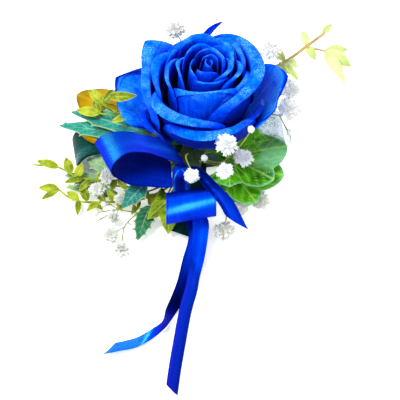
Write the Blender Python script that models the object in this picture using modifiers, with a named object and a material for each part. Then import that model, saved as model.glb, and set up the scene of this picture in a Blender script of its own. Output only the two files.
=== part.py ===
"""Rose wrist corsage: a blue rose, satin bow, leaves and baby's breath wired to a ribbon wristband.

Lengths in this file are millimetres, and MM turns them into metres as each mesh is made.
The origin is the middle of the flat underside of the wristband, where the corsage rests.
X runs along the wristband, -Y is where the bow's tails trail, and Z is up.
"""

import math
import random
from dataclasses import dataclass

import bmesh
import bpy
from mathutils import Matrix, Vector

MM = 0.001
WELD = 0.001
SEED = 11

# Driving sizes
BAND_HALF_LENGTH = 53.0
BAND_HEIGHT = 20.0
BAND_WIDTH = 19.0
BAND_THICKNESS = 1.2
BAND_TURN_DEG = 8.0
BAND_TURN_ROWS = 9
BUNDLE_HALF_WIDTH = 6.0
BUNDLE_HALF_HEIGHT = 4.3
GAP = 0.35
ROSE_X = 12.5
ROSE_Y = -8.5
CALYX_TOP = 38.0
CALYX_RADIUS = 7.0
ROSE_TOP = 80.0
PETAL_THICKNESS = 0.8
ROLL_TURN = math.radians(140.0)
LEAF_THICKNESS = 0.7
RIBBON_THICKNESS = 0.6
WIDE_RIBBON = 25.0
NARROW_RIBBON = 8.0
STEM_RADIUS = 0.8
FINE_STEM_RADIUS = 0.5

# Places worked out from the sizes
BUNDLE_Z = BAND_HEIGHT + GAP + BUNDLE_HALF_HEIGHT
BUNDLE_BACK = Vector((14.0, 16.0, BUNDLE_Z))
BUNDLE_FRONT = Vector((3.8, -34.0, BUNDLE_Z))
BUNDLE_TOP = BUNDLE_Z + BUNDLE_HALF_HEIGHT

COLLECTION = "rose_wrist_corsage"
PARTS = None


def clear_scene():
    """Removes every object and starts the corsage's own collection."""
    global PARTS
    for item in list(bpy.data.objects):
        bpy.data.objects.remove(item, do_unlink=True)
    PARTS = bpy.data.collections.new(COLLECTION)
    bpy.context.scene.collection.children.link(PARTS)


def finish(name, colour, roughness, metallic=0.0):
    """A plain surface of one colour."""
    material = bpy.data.materials.new(name)
    material.use_nodes = True
    shader = material.node_tree.nodes["Principled BSDF"]
    shader.inputs["Base Color"].default_value = (*colour, 1.0)
    shader.inputs["Roughness"].default_value = roughness
    shader.inputs["Metallic"].default_value = metallic
    material.diffuse_color = (*colour, 1.0)
    return material


def vectors(points):
    """The points as vectors."""
    return [Vector(point) for point in points]


def along(points, t):
    """The place at t, from 0 to 1, on the smooth curve through the points."""
    spans = len(points) - 1
    place = min(max(t, 0.0) * spans, spans - 1e-6)
    i = int(place)
    f = place - i
    before = points[max(i - 1, 0)]
    start = points[i]
    end = points[i + 1]
    after = points[min(i + 2, spans)]
    linear = (end - before) * f
    square = (2 * before - 5 * start + 4 * end - after) * f * f
    cube = (3 * start - before - 3 * end + after) * f**3
    return start + 0.5 * (linear + square + cube)


def new_object(name, mesh, material):
    """Links a mesh as an object of the corsage."""
    item = bpy.data.objects.new(name, mesh)
    mesh.materials.append(material)
    PARTS.objects.link(item)
    mesh.shade_smooth()
    mesh.set_sharp_from_angle(angle=math.radians(40))
    return item


def solid(name, bm, material):
    """Writes a bmesh in millimetres as an object in metres."""
    bmesh.ops.transform(bm, matrix=Matrix.Scale(MM, 4), verts=bm.verts)
    mesh = bpy.data.meshes.new(name)
    bm.to_mesh(mesh)
    bm.free()
    return new_object(name, mesh, material)


def sheet(name, columns, rows, place, thickness, material):
    """A grid bent by place(across, along), both from 0 to 1, and given its thickness."""
    bm = bmesh.new()
    bmesh.ops.create_grid(bm, x_segments=columns, y_segments=rows, size=0.5)
    for vertex in bm.verts:
        vertex.co = place(vertex.co.x + 0.5, vertex.co.y + 0.5)
    bmesh.ops.remove_doubles(bm, verts=bm.verts, dist=WELD)
    bmesh.ops.triangulate(bm, faces=bm.faces)
    item = solid(name, bm, material)
    wall = item.modifiers.new("thickness", "SOLIDIFY")
    wall.thickness = thickness * MM
    wall.offset = 0.0
    return item


def tube(name, points, radii, material, sides_level=0, steps=None):
    """A round stem through the points, tapering from the first radius to the last."""
    steps = steps or len(points) + 1
    data = bpy.data.curves.new(name, "CURVE")
    data.dimensions = "3D"
    data.bevel_depth = MM
    data.bevel_resolution = sides_level
    data.use_fill_caps = True
    spline = data.splines.new("POLY")
    spline.points.add(steps)
    for i in range(steps + 1):
        place = along(points, i / steps) * MM
        spline.points[i].co = (*place, 1.0)
        spline.points[i].radius = radii[0] + (radii[1] - radii[0]) * i / steps
    curve = bpy.data.objects.new(name, data)
    PARTS.objects.link(curve)
    mesh = evaluated_mesh(curve)
    bpy.data.objects.remove(curve, do_unlink=True)
    bm = bmesh.new()
    bm.from_mesh(mesh)
    bmesh.ops.remove_doubles(bm, verts=bm.verts, dist=WELD * MM)
    bmesh.ops.triangulate(bm, faces=bm.faces)
    bm.to_mesh(mesh)
    bm.free()
    mesh.name = name
    return new_object(name, mesh, material)


def evaluated_mesh(item):
    """A mesh of the object as its modifiers leave it."""
    depsgraph = bpy.context.evaluated_depsgraph_get()
    depsgraph.update()
    return bpy.data.meshes.new_from_object(item.evaluated_get(depsgraph), depsgraph=depsgraph)


def apply_modifiers(item):
    """Replaces the object's mesh by its evaluated one."""
    mesh = evaluated_mesh(item)
    item.modifiers.clear()
    item.data = mesh


def islands(bm):
    """The groups of faces that hang together, each as a list."""
    left = set(bm.faces)
    groups = []
    while left:
        group = [left.pop()]
        for face in group:
            for edge in face.edges:
                for other in edge.link_faces:
                    if other in left:
                        left.remove(other)
                        group.append(other)
        groups.append(group)
    return groups


def signed_volume(faces):
    """Volume inside the faces, below zero where they face inwards."""
    total = 0.0
    for face in faces:
        total += face.calc_area() * face.normal.dot(face.calc_center_median()) / 3.0
    return total


def keep_body(mesh):
    """Keeps the largest body, which fills sealed hollows and drops scraps."""
    bm = bmesh.new()
    bm.from_mesh(mesh)
    groups = sorted(islands(bm), key=signed_volume)
    for group in groups[:-1]:
        bmesh.ops.delete(bm, geom=group, context="FACES")
    bm.to_mesh(mesh)
    bm.free()


def fuse(name, pieces, material, solver="EXACT"):
    """Joins closed pieces that run into each other to one body."""
    base = pieces[0]
    group = bpy.data.collections.new(name + "_pieces")
    for item in pieces:
        if item.modifiers:
            apply_modifiers(item)
    for item in pieces[1:]:
        group.objects.link(item)
    join = base.modifiers.new("join", "BOOLEAN")
    join.operation = "UNION"
    join.operand_type = "COLLECTION"
    join.collection = group
    join.solver = solver
    apply_modifiers(base)
    keep_body(base.data)
    for item in pieces[1:]:
        bpy.data.objects.remove(item, do_unlink=True)
    bpy.data.collections.remove(group)
    base.name = name
    base.data.name = name
    base.data.materials.clear()
    base.data.materials.append(material)
    return base


def ribbon(name, middle, sides, thickness, material, rows, columns=1, crown=0.0, cut=0.0):
    """A strip along the middle points whose half widths are the side vectors.

    crown lifts its middle, and cut slants its far end by that length.
    """
    middle = vectors(middle)
    sides = vectors(sides)

    def place(across, t):
        centre = along(middle, t)
        side = along(sides, t)
        ahead = along(middle, min(t + 0.01, 1.0)) - along(middle, max(t - 0.01, 0.0))
        ahead.normalize()
        up = side.cross(ahead).normalized()
        s = 2.0 * across - 1.0
        slant = cut * s * t**6
        return centre + side * s + up * crown * (1.0 - s * s) + ahead * slant

    return sheet(name, columns, rows, place, thickness, material)


def dock(y, side_deg, lift=0.0):
    """A place just off the stem bundle's side at depth y, and the direction straight out of it."""
    share = (BUNDLE_BACK.y - y) / (BUNDLE_BACK.y - BUNDLE_FRONT.y)
    centre = BUNDLE_BACK.lerp(BUNDLE_FRONT, share)
    angle = math.radians(side_deg)
    rim = Vector((BUNDLE_HALF_WIDTH * math.cos(angle), 0.0, BUNDLE_HALF_HEIGHT * math.sin(angle)))
    out = Vector((math.cos(angle) / BUNDLE_HALF_WIDTH, 0.0, math.sin(angle) / BUNDLE_HALF_HEIGHT))
    out.normalize()
    start = centre + rim + out * (GAP + 0.15 + lift)
    return [start, start + out * 3.0]


def wristband(material):
    """The ribbon that goes round the wrist, an oval lying on its long side."""
    radius = (BAND_HEIGHT - BAND_THICKNESS) / 2.0
    straight = BAND_HALF_LENGTH - BAND_HEIGHT / 2.0
    middle_z = BAND_HEIGHT / 2.0
    turned = Matrix.Rotation(math.radians(BAND_TURN_DEG), 3, "Z")
    rows = 2 * (BAND_TURN_ROWS + 1)

    def place(across, t):
        half, step = divmod(round(t * rows), BAND_TURN_ROWS + 1)
        side = 1.0 if half % 2 == 0 else -1.0
        if step == 0:
            x, z = -side * straight, -side * radius
        else:
            angle = math.pi * ((step - 1) / BAND_TURN_ROWS - 0.5)
            x, z = side * (straight + radius * math.cos(angle)), side * radius * math.sin(angle)
        y = (across - 0.5) * BAND_WIDTH
        return turned @ Vector((x, y, z + middle_z))

    band = sheet("wristband", 1, rows, place, BAND_THICKNESS, material)
    band.modifiers["thickness"].use_even_offset = True
    return band


def wristband_tie_end(material):
    """The cut end of the wristband's ribbon, which leaves under the stems and hangs to the front."""
    middle = [(6, 5, 18.1), (6, -12, 17.6), (5.5, -25, 13.5), (4.5, -38, 7.5), (3.5, -47, 4.2), (2.5, -54, 2.8)]
    sides = [(8, 0, 0)] * 6
    return ribbon("wristband_tie_end", middle, sides, RIBBON_THICKNESS, material, 12, 1, 0.0, 3.0)


def stem_bundle(material):
    """The flower stems bound together with floral tape, lying on the wristband."""
    bm = bmesh.new()
    rings = 5
    length = (BUNDLE_BACK - BUNDLE_FRONT).length
    bmesh.ops.create_cone(bm, cap_ends=True, segments=18, radius1=1.0, radius2=1.0, depth=1.0)
    long_edges = [edge for edge in bm.edges if abs(edge.verts[0].co.z - edge.verts[1].co.z) > 0.5]
    bmesh.ops.subdivide_edges(bm, edges=long_edges, cuts=rings, use_grid_fill=True)
    ahead = (BUNDLE_FRONT - BUNDLE_BACK).normalized()
    side = ahead.cross(Vector((0, 0, 1))).normalized()
    middle = (BUNDLE_BACK + BUNDLE_FRONT) / 2.0
    for vertex in bm.verts:
        t = vertex.co.z
        near_end = max(0.0, (abs(t) - 0.4) / 0.1)
        narrow = 1.0 - 0.4 * near_end**2
        across = side * vertex.co.x * BUNDLE_HALF_WIDTH * narrow
        up = Vector((0, 0, 1)) * vertex.co.y * BUNDLE_HALF_HEIGHT * narrow
        vertex.co = middle + ahead * t * length + across + up
    bmesh.ops.recalc_face_normals(bm, faces=bm.faces)
    bmesh.ops.triangulate(bm, faces=bm.faces)
    return solid("stem_bundle", bm, material)


def rose_calyx(material):
    """The green hip under the bloom with its stem stub and five sepals."""
    profile = [(0.0, BUNDLE_TOP + GAP), (2.4, BUNDLE_TOP + GAP), (2.6, 31.0), (5.2, 33.2), (6.2, 35.6),
               (CALYX_RADIUS, CALYX_TOP), (0.0, CALYX_TOP)]
    bm = bmesh.new()
    ring = [bm.verts.new((radius, 0.0, z)) for radius, z in profile]
    edges = [bm.edges.new((ring[i], ring[i + 1])) for i in range(len(ring) - 1)]
    bmesh.ops.spin(bm, geom=edges + ring, cent=(0, 0, 0), axis=(0, 0, 1), angle=math.tau, steps=10)
    bmesh.ops.remove_doubles(bm, verts=bm.verts, dist=WELD)
    bmesh.ops.recalc_face_normals(bm, faces=bm.faces)
    bmesh.ops.translate(bm, verts=bm.verts, vec=(ROSE_X, ROSE_Y, 0.0))
    pieces = [solid("rose_calyx", bm, material)]
    for i in range(5):
        angle = math.radians(-107.0 + 72.0 * i)
        out = Vector((math.cos(angle), math.sin(angle), 0.0))
        side = Vector((-out.y, out.x, 0.0))
        root = Vector((ROSE_X, ROSE_Y, 36.6)) + out * 3.5

        def place(across, t, out=out, side=side, root=root):
            half = 2.9 * (1.0 - t) ** 0.7 * (0.75 + 0.6 * t)
            s = 2.0 * across - 1.0
            drop = -2.6 * math.sin(t * 2.2)
            return root + out * 16.5 * t + side * half * s + Vector((0, 0, drop + 0.5 * abs(s)))

        pieces.append(sheet("sepal", 2, 4, place, LEAF_THICKNESS, material))
    return fuse("rose_calyx", pieces, material)


@dataclass
class Petal:
    """One rose petal: where it faces, how wide it spreads, its belly and rim, and its rolled edge."""

    azimuth: float
    spread: float
    belly: float
    rim: float
    height: float
    roll: float
    base: float
    shift: float = 0.0
    point: float = 0.0


def petal_place(petal, wave):
    """The function that bends a grid to the petal's cup."""
    rise = petal.height - petal.base
    cup = vectors([
        (4.0, 0.0, petal.base),
        (petal.belly * 0.74, 0.0, petal.base + 0.06 * rise),
        (petal.belly, 0.0, petal.base + 0.40 * rise),
        ((petal.belly + petal.rim) / 2.0, 0.0, petal.base + 0.76 * rise),
        (petal.rim, 0.0, petal.height),
    ])
    crest = 5.0 / 7.0 if petal.roll > 0.0 else 1.0

    def place(across, t):
        s = 2.0 * across - 1.0
        width = 0.5 + 0.5 * math.sin(min(t / 0.62, 1.0) * math.pi / 2.0)
        if t > 0.7:
            width *= 1.0 - 0.22 * ((t - 0.7) / 0.3) ** 2
        reach = 1.0 - 0.2 * abs(s) ** 2.2
        spot = along(cup, min(t / crest, 1.0) * reach)
        turn = max(t - crest, 0.0) / (1.0 - 5.0 / 7.0) * ROLL_TURN
        radius = spot.x + petal.roll * (1.0 - math.cos(turn))
        z = spot.z + petal.roll * math.sin(turn)
        tip = petal.point * max(0.0, 1.0 - abs(s) * 1.6) * t**3
        ripple = wave * math.sin(3.1 * s + petal.azimuth) * t
        radius += s * 0.07 * petal.belly + ripple + tip
        angle = math.radians(petal.azimuth + petal.spread * s * width)
        x = ROSE_X + petal.shift * t + radius * math.cos(angle)
        y = ROSE_Y + radius * math.sin(angle)
        return Vector((x, y, z))

    return place


def rose_petals():
    """Every petal of the bloom, from the wrapped heart to the spread outer ones."""
    draw = random.Random(SEED)
    low = CALYX_TOP + 1.6
    whorls = [
        (3, 20.0, 58.0, 3.6, 3.0, ROSE_TOP - 1.0, 0.0, 60.0, 2.5),
        (3, 75.0, 66.0, 7.4, 7.6, ROSE_TOP, 0.0, 57.0, 2.5),
        (4, 10.0, 56.0, 12.6, 13.4, ROSE_TOP - 1.0, 0.0, 50.0, 2.0),
        (5, 46.0, 47.0, 18.4, 18.0, ROSE_TOP - 4.5, 2.0, low, 1.0),
        (5, 18.0, 44.0, 23.6, 24.0, ROSE_TOP - 9.5, 2.3, low, 0.0),
        (5, 54.0, 42.0, 28.0, 28.6, ROSE_TOP - 17.0, 2.6, low, 0.0),
    ]
    petals = []
    for count, first, spread, belly, rim, height, roll, base, shift in whorls:
        for i in range(count):
            azimuth = first + 360.0 * i / count + draw.uniform(-5.0, 5.0)
            tall = height + draw.uniform(-1.2, 1.2)
            wide = spread * draw.uniform(0.95, 1.08)
            petals.append(Petal(azimuth, wide, belly, rim, tall, roll, base, shift))
    petals.append(Petal(172.0, 34.0, 31.0, 38.0, 53.0, 2.4, low, 0.0, 2.0))
    petals.append(Petal(4.0, 30.0, 31.5, 34.0, 59.0, 2.4, low, 0.0, 1.5))
    return petals


def rose_bloom(material):
    """The blue rose: petals in whorls joined to a small heart."""
    bm = bmesh.new()
    bmesh.ops.create_uvsphere(bm, u_segments=12, v_segments=7, radius=1.0)
    low = CALYX_TOP + GAP
    for vertex in bm.verts:
        side = Vector((vertex.co.x, vertex.co.y, 0.0))
        z = low + (vertex.co.z + 1.0) / 2.0 * 30.0
        if vertex.co.z < -0.85:
            z = low
        vertex.co = Vector((ROSE_X, ROSE_Y, z)) + side * 7.5
    pieces = [solid("rose_bloom", bm, material)]
    for index, petal in enumerate(rose_petals()):
        wide = petal.belly > 15.0
        rows = 7 if wide else 5
        place = petal_place(petal, 0.5 if wide else 0.15)
        pieces.append(sheet(f"petal_{index}", 4, rows, place, PETAL_THICKNESS, material))
    return fuse("rose_bloom", pieces, material)


LEAF_UP = Vector((0.0, -0.35, 1.0)).normalized()


def spiny_leaf(name, base, tip, width, root, material, up=LEAF_UP, arch=2.0, teeth=0.24, rows=8):
    """A lance-shaped leaf with spiny teeth, its stalk running along root to the base."""
    base = Vector(base)
    tip = Vector(tip)
    ahead = (tip - base).normalized()
    side = ahead.cross(up).normalized()
    lift = side.cross(ahead).normalized()
    reach = (tip - base).length

    def place(across, t):
        s = 2.0 * across - 1.0
        half = width / 2.0 * math.sin(math.pi * t**0.75) ** 0.8 if 0.0 < t < 1.0 else 0.0
        tooth = round(t * rows) % 2
        half *= 1.0 + teeth * (2.0 * tooth - 1.0) * abs(s)
        forward = 0.4 * tooth * abs(s) * reach / rows
        bow = arch * math.sin(math.pi * t)
        fold = 0.22 * half * abs(s)
        return base + ahead * (t * reach + forward) + side * half * s + lift * (bow + fold)

    blade = sheet(name, 2, rows, place, LEAF_THICKNESS, material)
    spot = base + ahead * reach * 0.25 + lift * arch * 0.6
    stalk = tube(name + "_stalk", vectors(root) + [base, spot], (STEM_RADIUS, 0.5), material)
    return fuse(name, [blade, stalk], material)


def lobed_leaf(name, base, aim_deg, length, root, material, up=LEAF_UP, lobes=5, droop=3.0, columns=20):
    """A palm-shaped leaf with pointed lobes, its stalk running along root to the base."""
    base = Vector(base)
    flat = Vector((math.cos(math.radians(aim_deg)), math.sin(math.radians(aim_deg)), 0.0))
    side = up.cross(flat).normalized()
    ahead = side.cross(up).normalized()
    spread = math.radians(145.0)
    lobe_angles = [0.0, 45.0, -45.0, 105.0, -105.0][:lobes]
    lobe_lengths = [1.0, 0.82, 0.82, 0.55, 0.55][:lobes]

    def reach(angle):
        best = 0.38
        for lobe, size in zip(lobe_angles, lobe_lengths):
            off = abs(angle - math.radians(lobe)) / math.radians(30.0)
            best = max(best, size * (1.0 - 0.48 * min(off, 1.6) ** 0.9))
        return best * length

    def place(across, t):
        angle = (2.0 * across - 1.0) * spread
        radius = reach(angle) * t
        vein = 0.5 * math.cos(angle * 8.0) * t
        drop = droop * (radius / length) ** 2
        return base + ahead * radius * math.cos(angle) + side * radius * math.sin(angle) + up * (vein - drop)

    blade = sheet(name, columns, 2, place, LEAF_THICKNESS, material)
    spot = base + ahead * length * 0.3
    stalk = tube(name + "_stalk", vectors(root) + [base, spot], (STEM_RADIUS, 0.5), material)
    return fuse(name, [blade, stalk], material)


def leaflet(name, base, tip, width, up, material, rows=4):
    """A small smooth-edged leaf."""
    base = Vector(base)
    tip = Vector(tip)
    ahead = (tip - base).normalized()
    side = ahead.cross(Vector(up)).normalized()
    lift = side.cross(ahead).normalized()
    reach = (tip - base).length

    def place(across, t):
        s = 2.0 * across - 1.0
        half = width / 2.0 * math.sin(math.pi * t**0.8) ** 0.75 if 0.0 < t < 1.0 else 0.0
        return base + ahead * t * reach + side * half * s + lift * (0.12 * reach * math.sin(math.pi * t)
                                                                    + 0.2 * half * abs(s))

    return sheet(name, 2, rows, place, LEAF_THICKNESS, material)


def sprig(name, stems, leaves, material):
    """Thin stems with small leaves, joined to one body.

    Each stem is a list of places, and each leaf a base, a tip, a width and which way its face looks.
    """
    pieces = []
    for index, stem in enumerate(stems):
        radii = (STEM_RADIUS, 0.55) if index == 0 else (0.6, 0.45)
        pieces.append(tube(f"{name}_stem_{index}", vectors(stem), radii, material, 1 if index == 0 else 0))
    for index, (base, tip, width, up) in enumerate(leaves):
        pieces.append(leaflet(f"{name}_leaf_{index}", base, tip, width, up, material))
    return fuse(name, pieces, material)


def blossom(name, centre, radius, draw, material):
    """A double baby's breath flower, a ball with petal points all round."""
    bm = bmesh.new()
    bmesh.ops.create_icosphere(bm, subdivisions=2, radius=1.0)
    for index, vertex in enumerate(bm.verts):
        out = 1.12 if index % 2 else 0.82
        out *= draw.uniform(0.93, 1.07)
        vertex.co = Vector(centre) + vertex.co.normalized() * radius * out
    return solid(name, bm, material)


def bud(name, centre, radius, material):
    """A closed round bud."""
    bm = bmesh.new()
    bmesh.ops.create_icosphere(bm, subdivisions=1, radius=radius)
    bmesh.ops.translate(bm, verts=bm.verts, vec=centre)
    return solid(name, bm, material)


def spray(name, stems, flowers, buds, material):
    """Baby's breath: fine branching stems with flowers and buds on their ends, joined to one body."""
    draw = random.Random(SEED + len(name))
    pieces = []
    for index, stem in enumerate(stems):
        radii = (0.7, 0.5) if index == 0 else (FINE_STEM_RADIUS, 0.42)
        pieces.append(tube(f"{name}_stem_{index}", vectors(stem), radii, material, 0, len(stem) + 1))
    for index, (centre, radius) in enumerate(flowers):
        pieces.append(blossom(f"{name}_flower_{index}", centre, radius, draw, material))
    for index, (centre, radius) in enumerate(buds):
        pieces.append(bud(f"{name}_bud_{index}", centre, radius, material))
    return fuse(name, pieces, material)


def bow_knot(material):
    """The tight wrap that gathers the bow in front of the stem bundle."""
    bm = bmesh.new()
    bmesh.ops.create_cube(bm, size=2.0)
    bmesh.ops.subdivide_edges(bm, edges=bm.edges, cuts=3, use_grid_fill=True)
    for vertex in bm.verts:
        round_place = vertex.co.normalized() * vertex.co.length ** 0.35
        vertex.co = Vector((round_place.x * 4.0, round_place.y * 4.6, round_place.z * 8.8))
        vertex.co += Vector((1.2, -38.9, 28.2))
    bmesh.ops.triangulate(bm, faces=bm.faces)
    return solid("bow_knot", bm, material)


def bow_loop_left(material):
    """The big loop of wide ribbon, open to the front, its ends gathered at the knot.

    Its upper layer leans towards the front and its lower layer lies flat.
    """
    middle = [(2.8, -36.9, 37.8), (-1.5, -32.4, 39.0), (-7.0, -29.3, 39.3), (-13.0, -27.4, 39.2),
              (-20.5, -24.1, 38.5), (-29.5, -23.7, 37.6), (-35.6, -24.7, 33.3), (-37.6, -25.1, 27.6),
              (-34.5, -23.6, 22.6), (-28.0, -25.4, 21.1), (-19.0, -26.6, 21.1), (-11.0, -30.9, 22.9),
              (-4.4, -34.9, 25.0)]
    sides = [(0.8, -2.2, 0.2), (2.5, -7.6, 1.9), (3.8, -10.2, 3.0), (4.4, -10.8, 4.4),
             (4.4, -10.8, 4.4), (4.4, -10.8, 4.4), (4.4, -11.1, 3.6), (4.4, -11.4, 2.4),
             (4.4, -11.6, 1.0), (4.4, -11.7, 0.0), (4.4, -11.7, 0.0), (2.6, -9.5, 0.0),
             (0.3, -6.6, 0.2)]
    return ribbon("bow_loop_left", middle, sides, RIBBON_THICKNESS, material, 28, 2)


def bow_loop_lower(material):
    """The small rolled loop in front of the knot."""
    across = Vector((0.94, 0.22, 0.2)).normalized() * WIDE_RIBBON / 2.0
    centre = Vector((6.2, -52.4, 24.4))
    middle = []
    for i in range(13):
        angle = math.radians(165.0 - 330.0 * i / 12.0)
        middle.append(centre + Vector((0.0, -7.4 * math.cos(angle), 8.2 * math.sin(angle))))
    return ribbon("bow_loop_lower", middle, [across] * 13, RIBBON_THICKNESS, material, 20)


def bow_tail_right(material):
    """The short wide end that leaves the knot to the lower right and is cut to a point."""
    middle = [(4.9, -39.0, 35.0), (10.5, -41.8, 39.8), (15.0, -46.0, 42.6), (18.4, -51.0, 40.6), (24.6, -54.5, 31.2),
              (28.5, -57.0, 23.5)]
    sides = [(0.8, 2.0, -2.2), (1.0, 2.8, -3.2), (1.2, 3.2, -3.8), (2.0, 3.6, -4.2), (4.4, 3.6, -4.0),
             (4.6, 3.4, -4.0)]
    return ribbon("bow_tail_right", middle, sides, RIBBON_THICKNESS, material, 12, 1, 0.0, 8.0)


def ribbon_tail_long(material):
    """The long narrow end that falls from the knot and runs straight out along the surface."""
    middle = [(1.4, -39.4, 18.9), (6.0, -46.5, 16.2), (10.6, -54.0, 13.8), (10.4, -62.0, 9.6),
              (9.0, -71.0, 6.4), (7.6, -80.0, 4.2), (6.2, -89.0, 3.4), (3.4, -102.0, 3.2),
              (0.8, -120.0, 3.2), (-1.6, -138.0, 3.2), (-3.0, -151.0, 3.2)]
    half = NARROW_RIBBON / 2.0
    flat = (half, 0.5, 0.0)
    rolled = (half * 0.7, 0.5, -half * 0.7)
    sides = [(2.6, 0.4, 0.0), (3.4, 0.4, 0.0), flat, flat, (half * 0.95, 0.5, -half * 0.3)] + [rolled] * 6
    return ribbon("ribbon_tail_long", middle, sides, RIBBON_THICKNESS, material, 26, 1, 0.0, 4.0)


def ribbon_tail_curved(material):
    """The second long narrow end, which turns over once and swings to the left."""
    middle = [(0.8, -39.0, 17.9), (4.4, -46.5, 13.4), (8.4, -55.0, 9.6), (8.6, -61.0, 7.2), (6.0, -70.0, 4.0),
              (3.2, -82.0, 1.8), (0.0, -93.0, 2.2), (-3.8, -103.0, 3.7), (-7.4, -112.5, 4.7),
              (-14.0, -118.0, 3.6), (-21.0, -121.0, 1.7), (-29.0, -123.5, 1.7), (-36.5, -125.5, 1.7)]
    half = NARROW_RIBBON / 2.0
    flat = (half, 0.0, 0.0)
    lifted = (-0.6, -3.8, 1.2)
    sides = [(2.4, 0.0, 0.0), (3.2, 0.0, 0.0), flat, flat, flat, (half * 0.95, 0.4, -0.6), (3.6, 0.8, -1.4),
             (2.2, 0.8, -3.1), (0.2, 0.6, -half), (-1.8, -2.8, -2.2), (-1.2, -3.8, 0.4), lifted, lifted]
    return ribbon("ribbon_tail_curved", middle, sides, RIBBON_THICKNESS, material, 34, 1, 0.0, 2.2)


def build_bow(material):
    """The knot, loops and ends of the blue satin bow."""
    bow_knot(material)
    bow_loop_left(material)
    bow_loop_lower(material)
    bow_tail_right(material)
    ribbon_tail_long(material)
    ribbon_tail_curved(material)


def build_leaves(teal, gold, pale, green, ivy):
    """The leaves, each with its own stalk."""
    spiny_leaf("holly_leaf_upper", (-13.0, -12.5, 30.5), (-54.0, 5.5, 27.5), 11.5,
               dock(-12.0, 165.0) + [(-5.0, -12.5, 29.0)], teal)
    spiny_leaf("holly_leaf_outer", (-22.0, -9.0, 24.5), (-60.0, 2.5, 20.5), 10.0,
               dock(-5.0, 175.0) + [(-9.0, -6.5, 25.2)], teal)
    lobed_leaf("golden_leaf", (-17.0, 3.5, 22.4), 152.0, 37.0, dock(3.0, 180.0) + [(-5.0, 3.0, 23.4)], gold,
               up=Vector((0.0, 0.0, 1.0)), lobes=3, droop=0.8)
    spiny_leaf("pale_leaf_upper", (-33.0, -21.0, 12.8), (-46.0, -14.0, 13.5), 9.0,
               dock(-19.0, 195.0) + [(-8.0, -19.5, 16.0), (-20.0, -20.5, 12.8)], pale, arch=1.0)
    spiny_leaf("pale_leaf_middle", (-37.0, -24.5, 6.6), (-57.0, -19.5, 8.0), 8.5,
               dock(-23.0, 210.0) + [(-6.0, -24.5, 14.0), (-20.0, -26.0, 7.0)], pale, arch=0.8)
    spiny_leaf("pale_leaf_lower", (-30.0, -28.5, 3.2), (-57.0, -22.5, 2.6), 7.0,
               dock(-25.0, 224.0) + [(-5.0, -26.5, 11.0), (-18.0, -28.0, 4.2)], pale, arch=0.8)
    spiny_leaf("blue_leaf", (-16.5, -30.5, 14.5), (-28.0, -42.0, 9.5), 11.0,
               dock(-26.5, 192.0, -0.1) + [(-8.0, -29.5, 19.5)], teal, arch=1.0)
    spiny_leaf("green_leaf", (-14.5, -38.5, 6.8), (-20.5, -57.5, 3.0), 10.0,
               dock(-31.6, 235.0, -0.5) + [(-4.0, -35.5, 12.5)], green, arch=0.8)
    lobed_leaf("ivy_leaf_bottom", (-4.6, -39.5, 13.6), -92.0, 18.0, dock(-33.0, 245.0) + [(-3.5, -37.0, 15.5)],
               ivy, lobes=3, up=Vector((0.0, -0.45, 1.0)).normalized())
    lobed_leaf("ivy_leaf_right_upper", (25.0, -27.0, 30.5), 16.0, 30.0,
               dock(-20.0, 15.0, 0.1) + [(18.0, -23.0, 29.6)], ivy, up=Vector((0.0, -0.12, 1.0)).normalized())
    lobed_leaf("ivy_leaf_right_lower", (24.5, -27.5, 23.8), -9.0, 28.0,
               dock(-24.0, -10.0, 0.2) + [(19.0, -26.5, 24.0)], ivy, droop=1.5)
    lobed_leaf("ivy_leaf_right_small", (22.0, -31.0, 18.5), -62.0, 13.0,
               dock(-29.0, -30.0) + [(14.0, -29.5, 18.5)], ivy, lobes=3)


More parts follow.
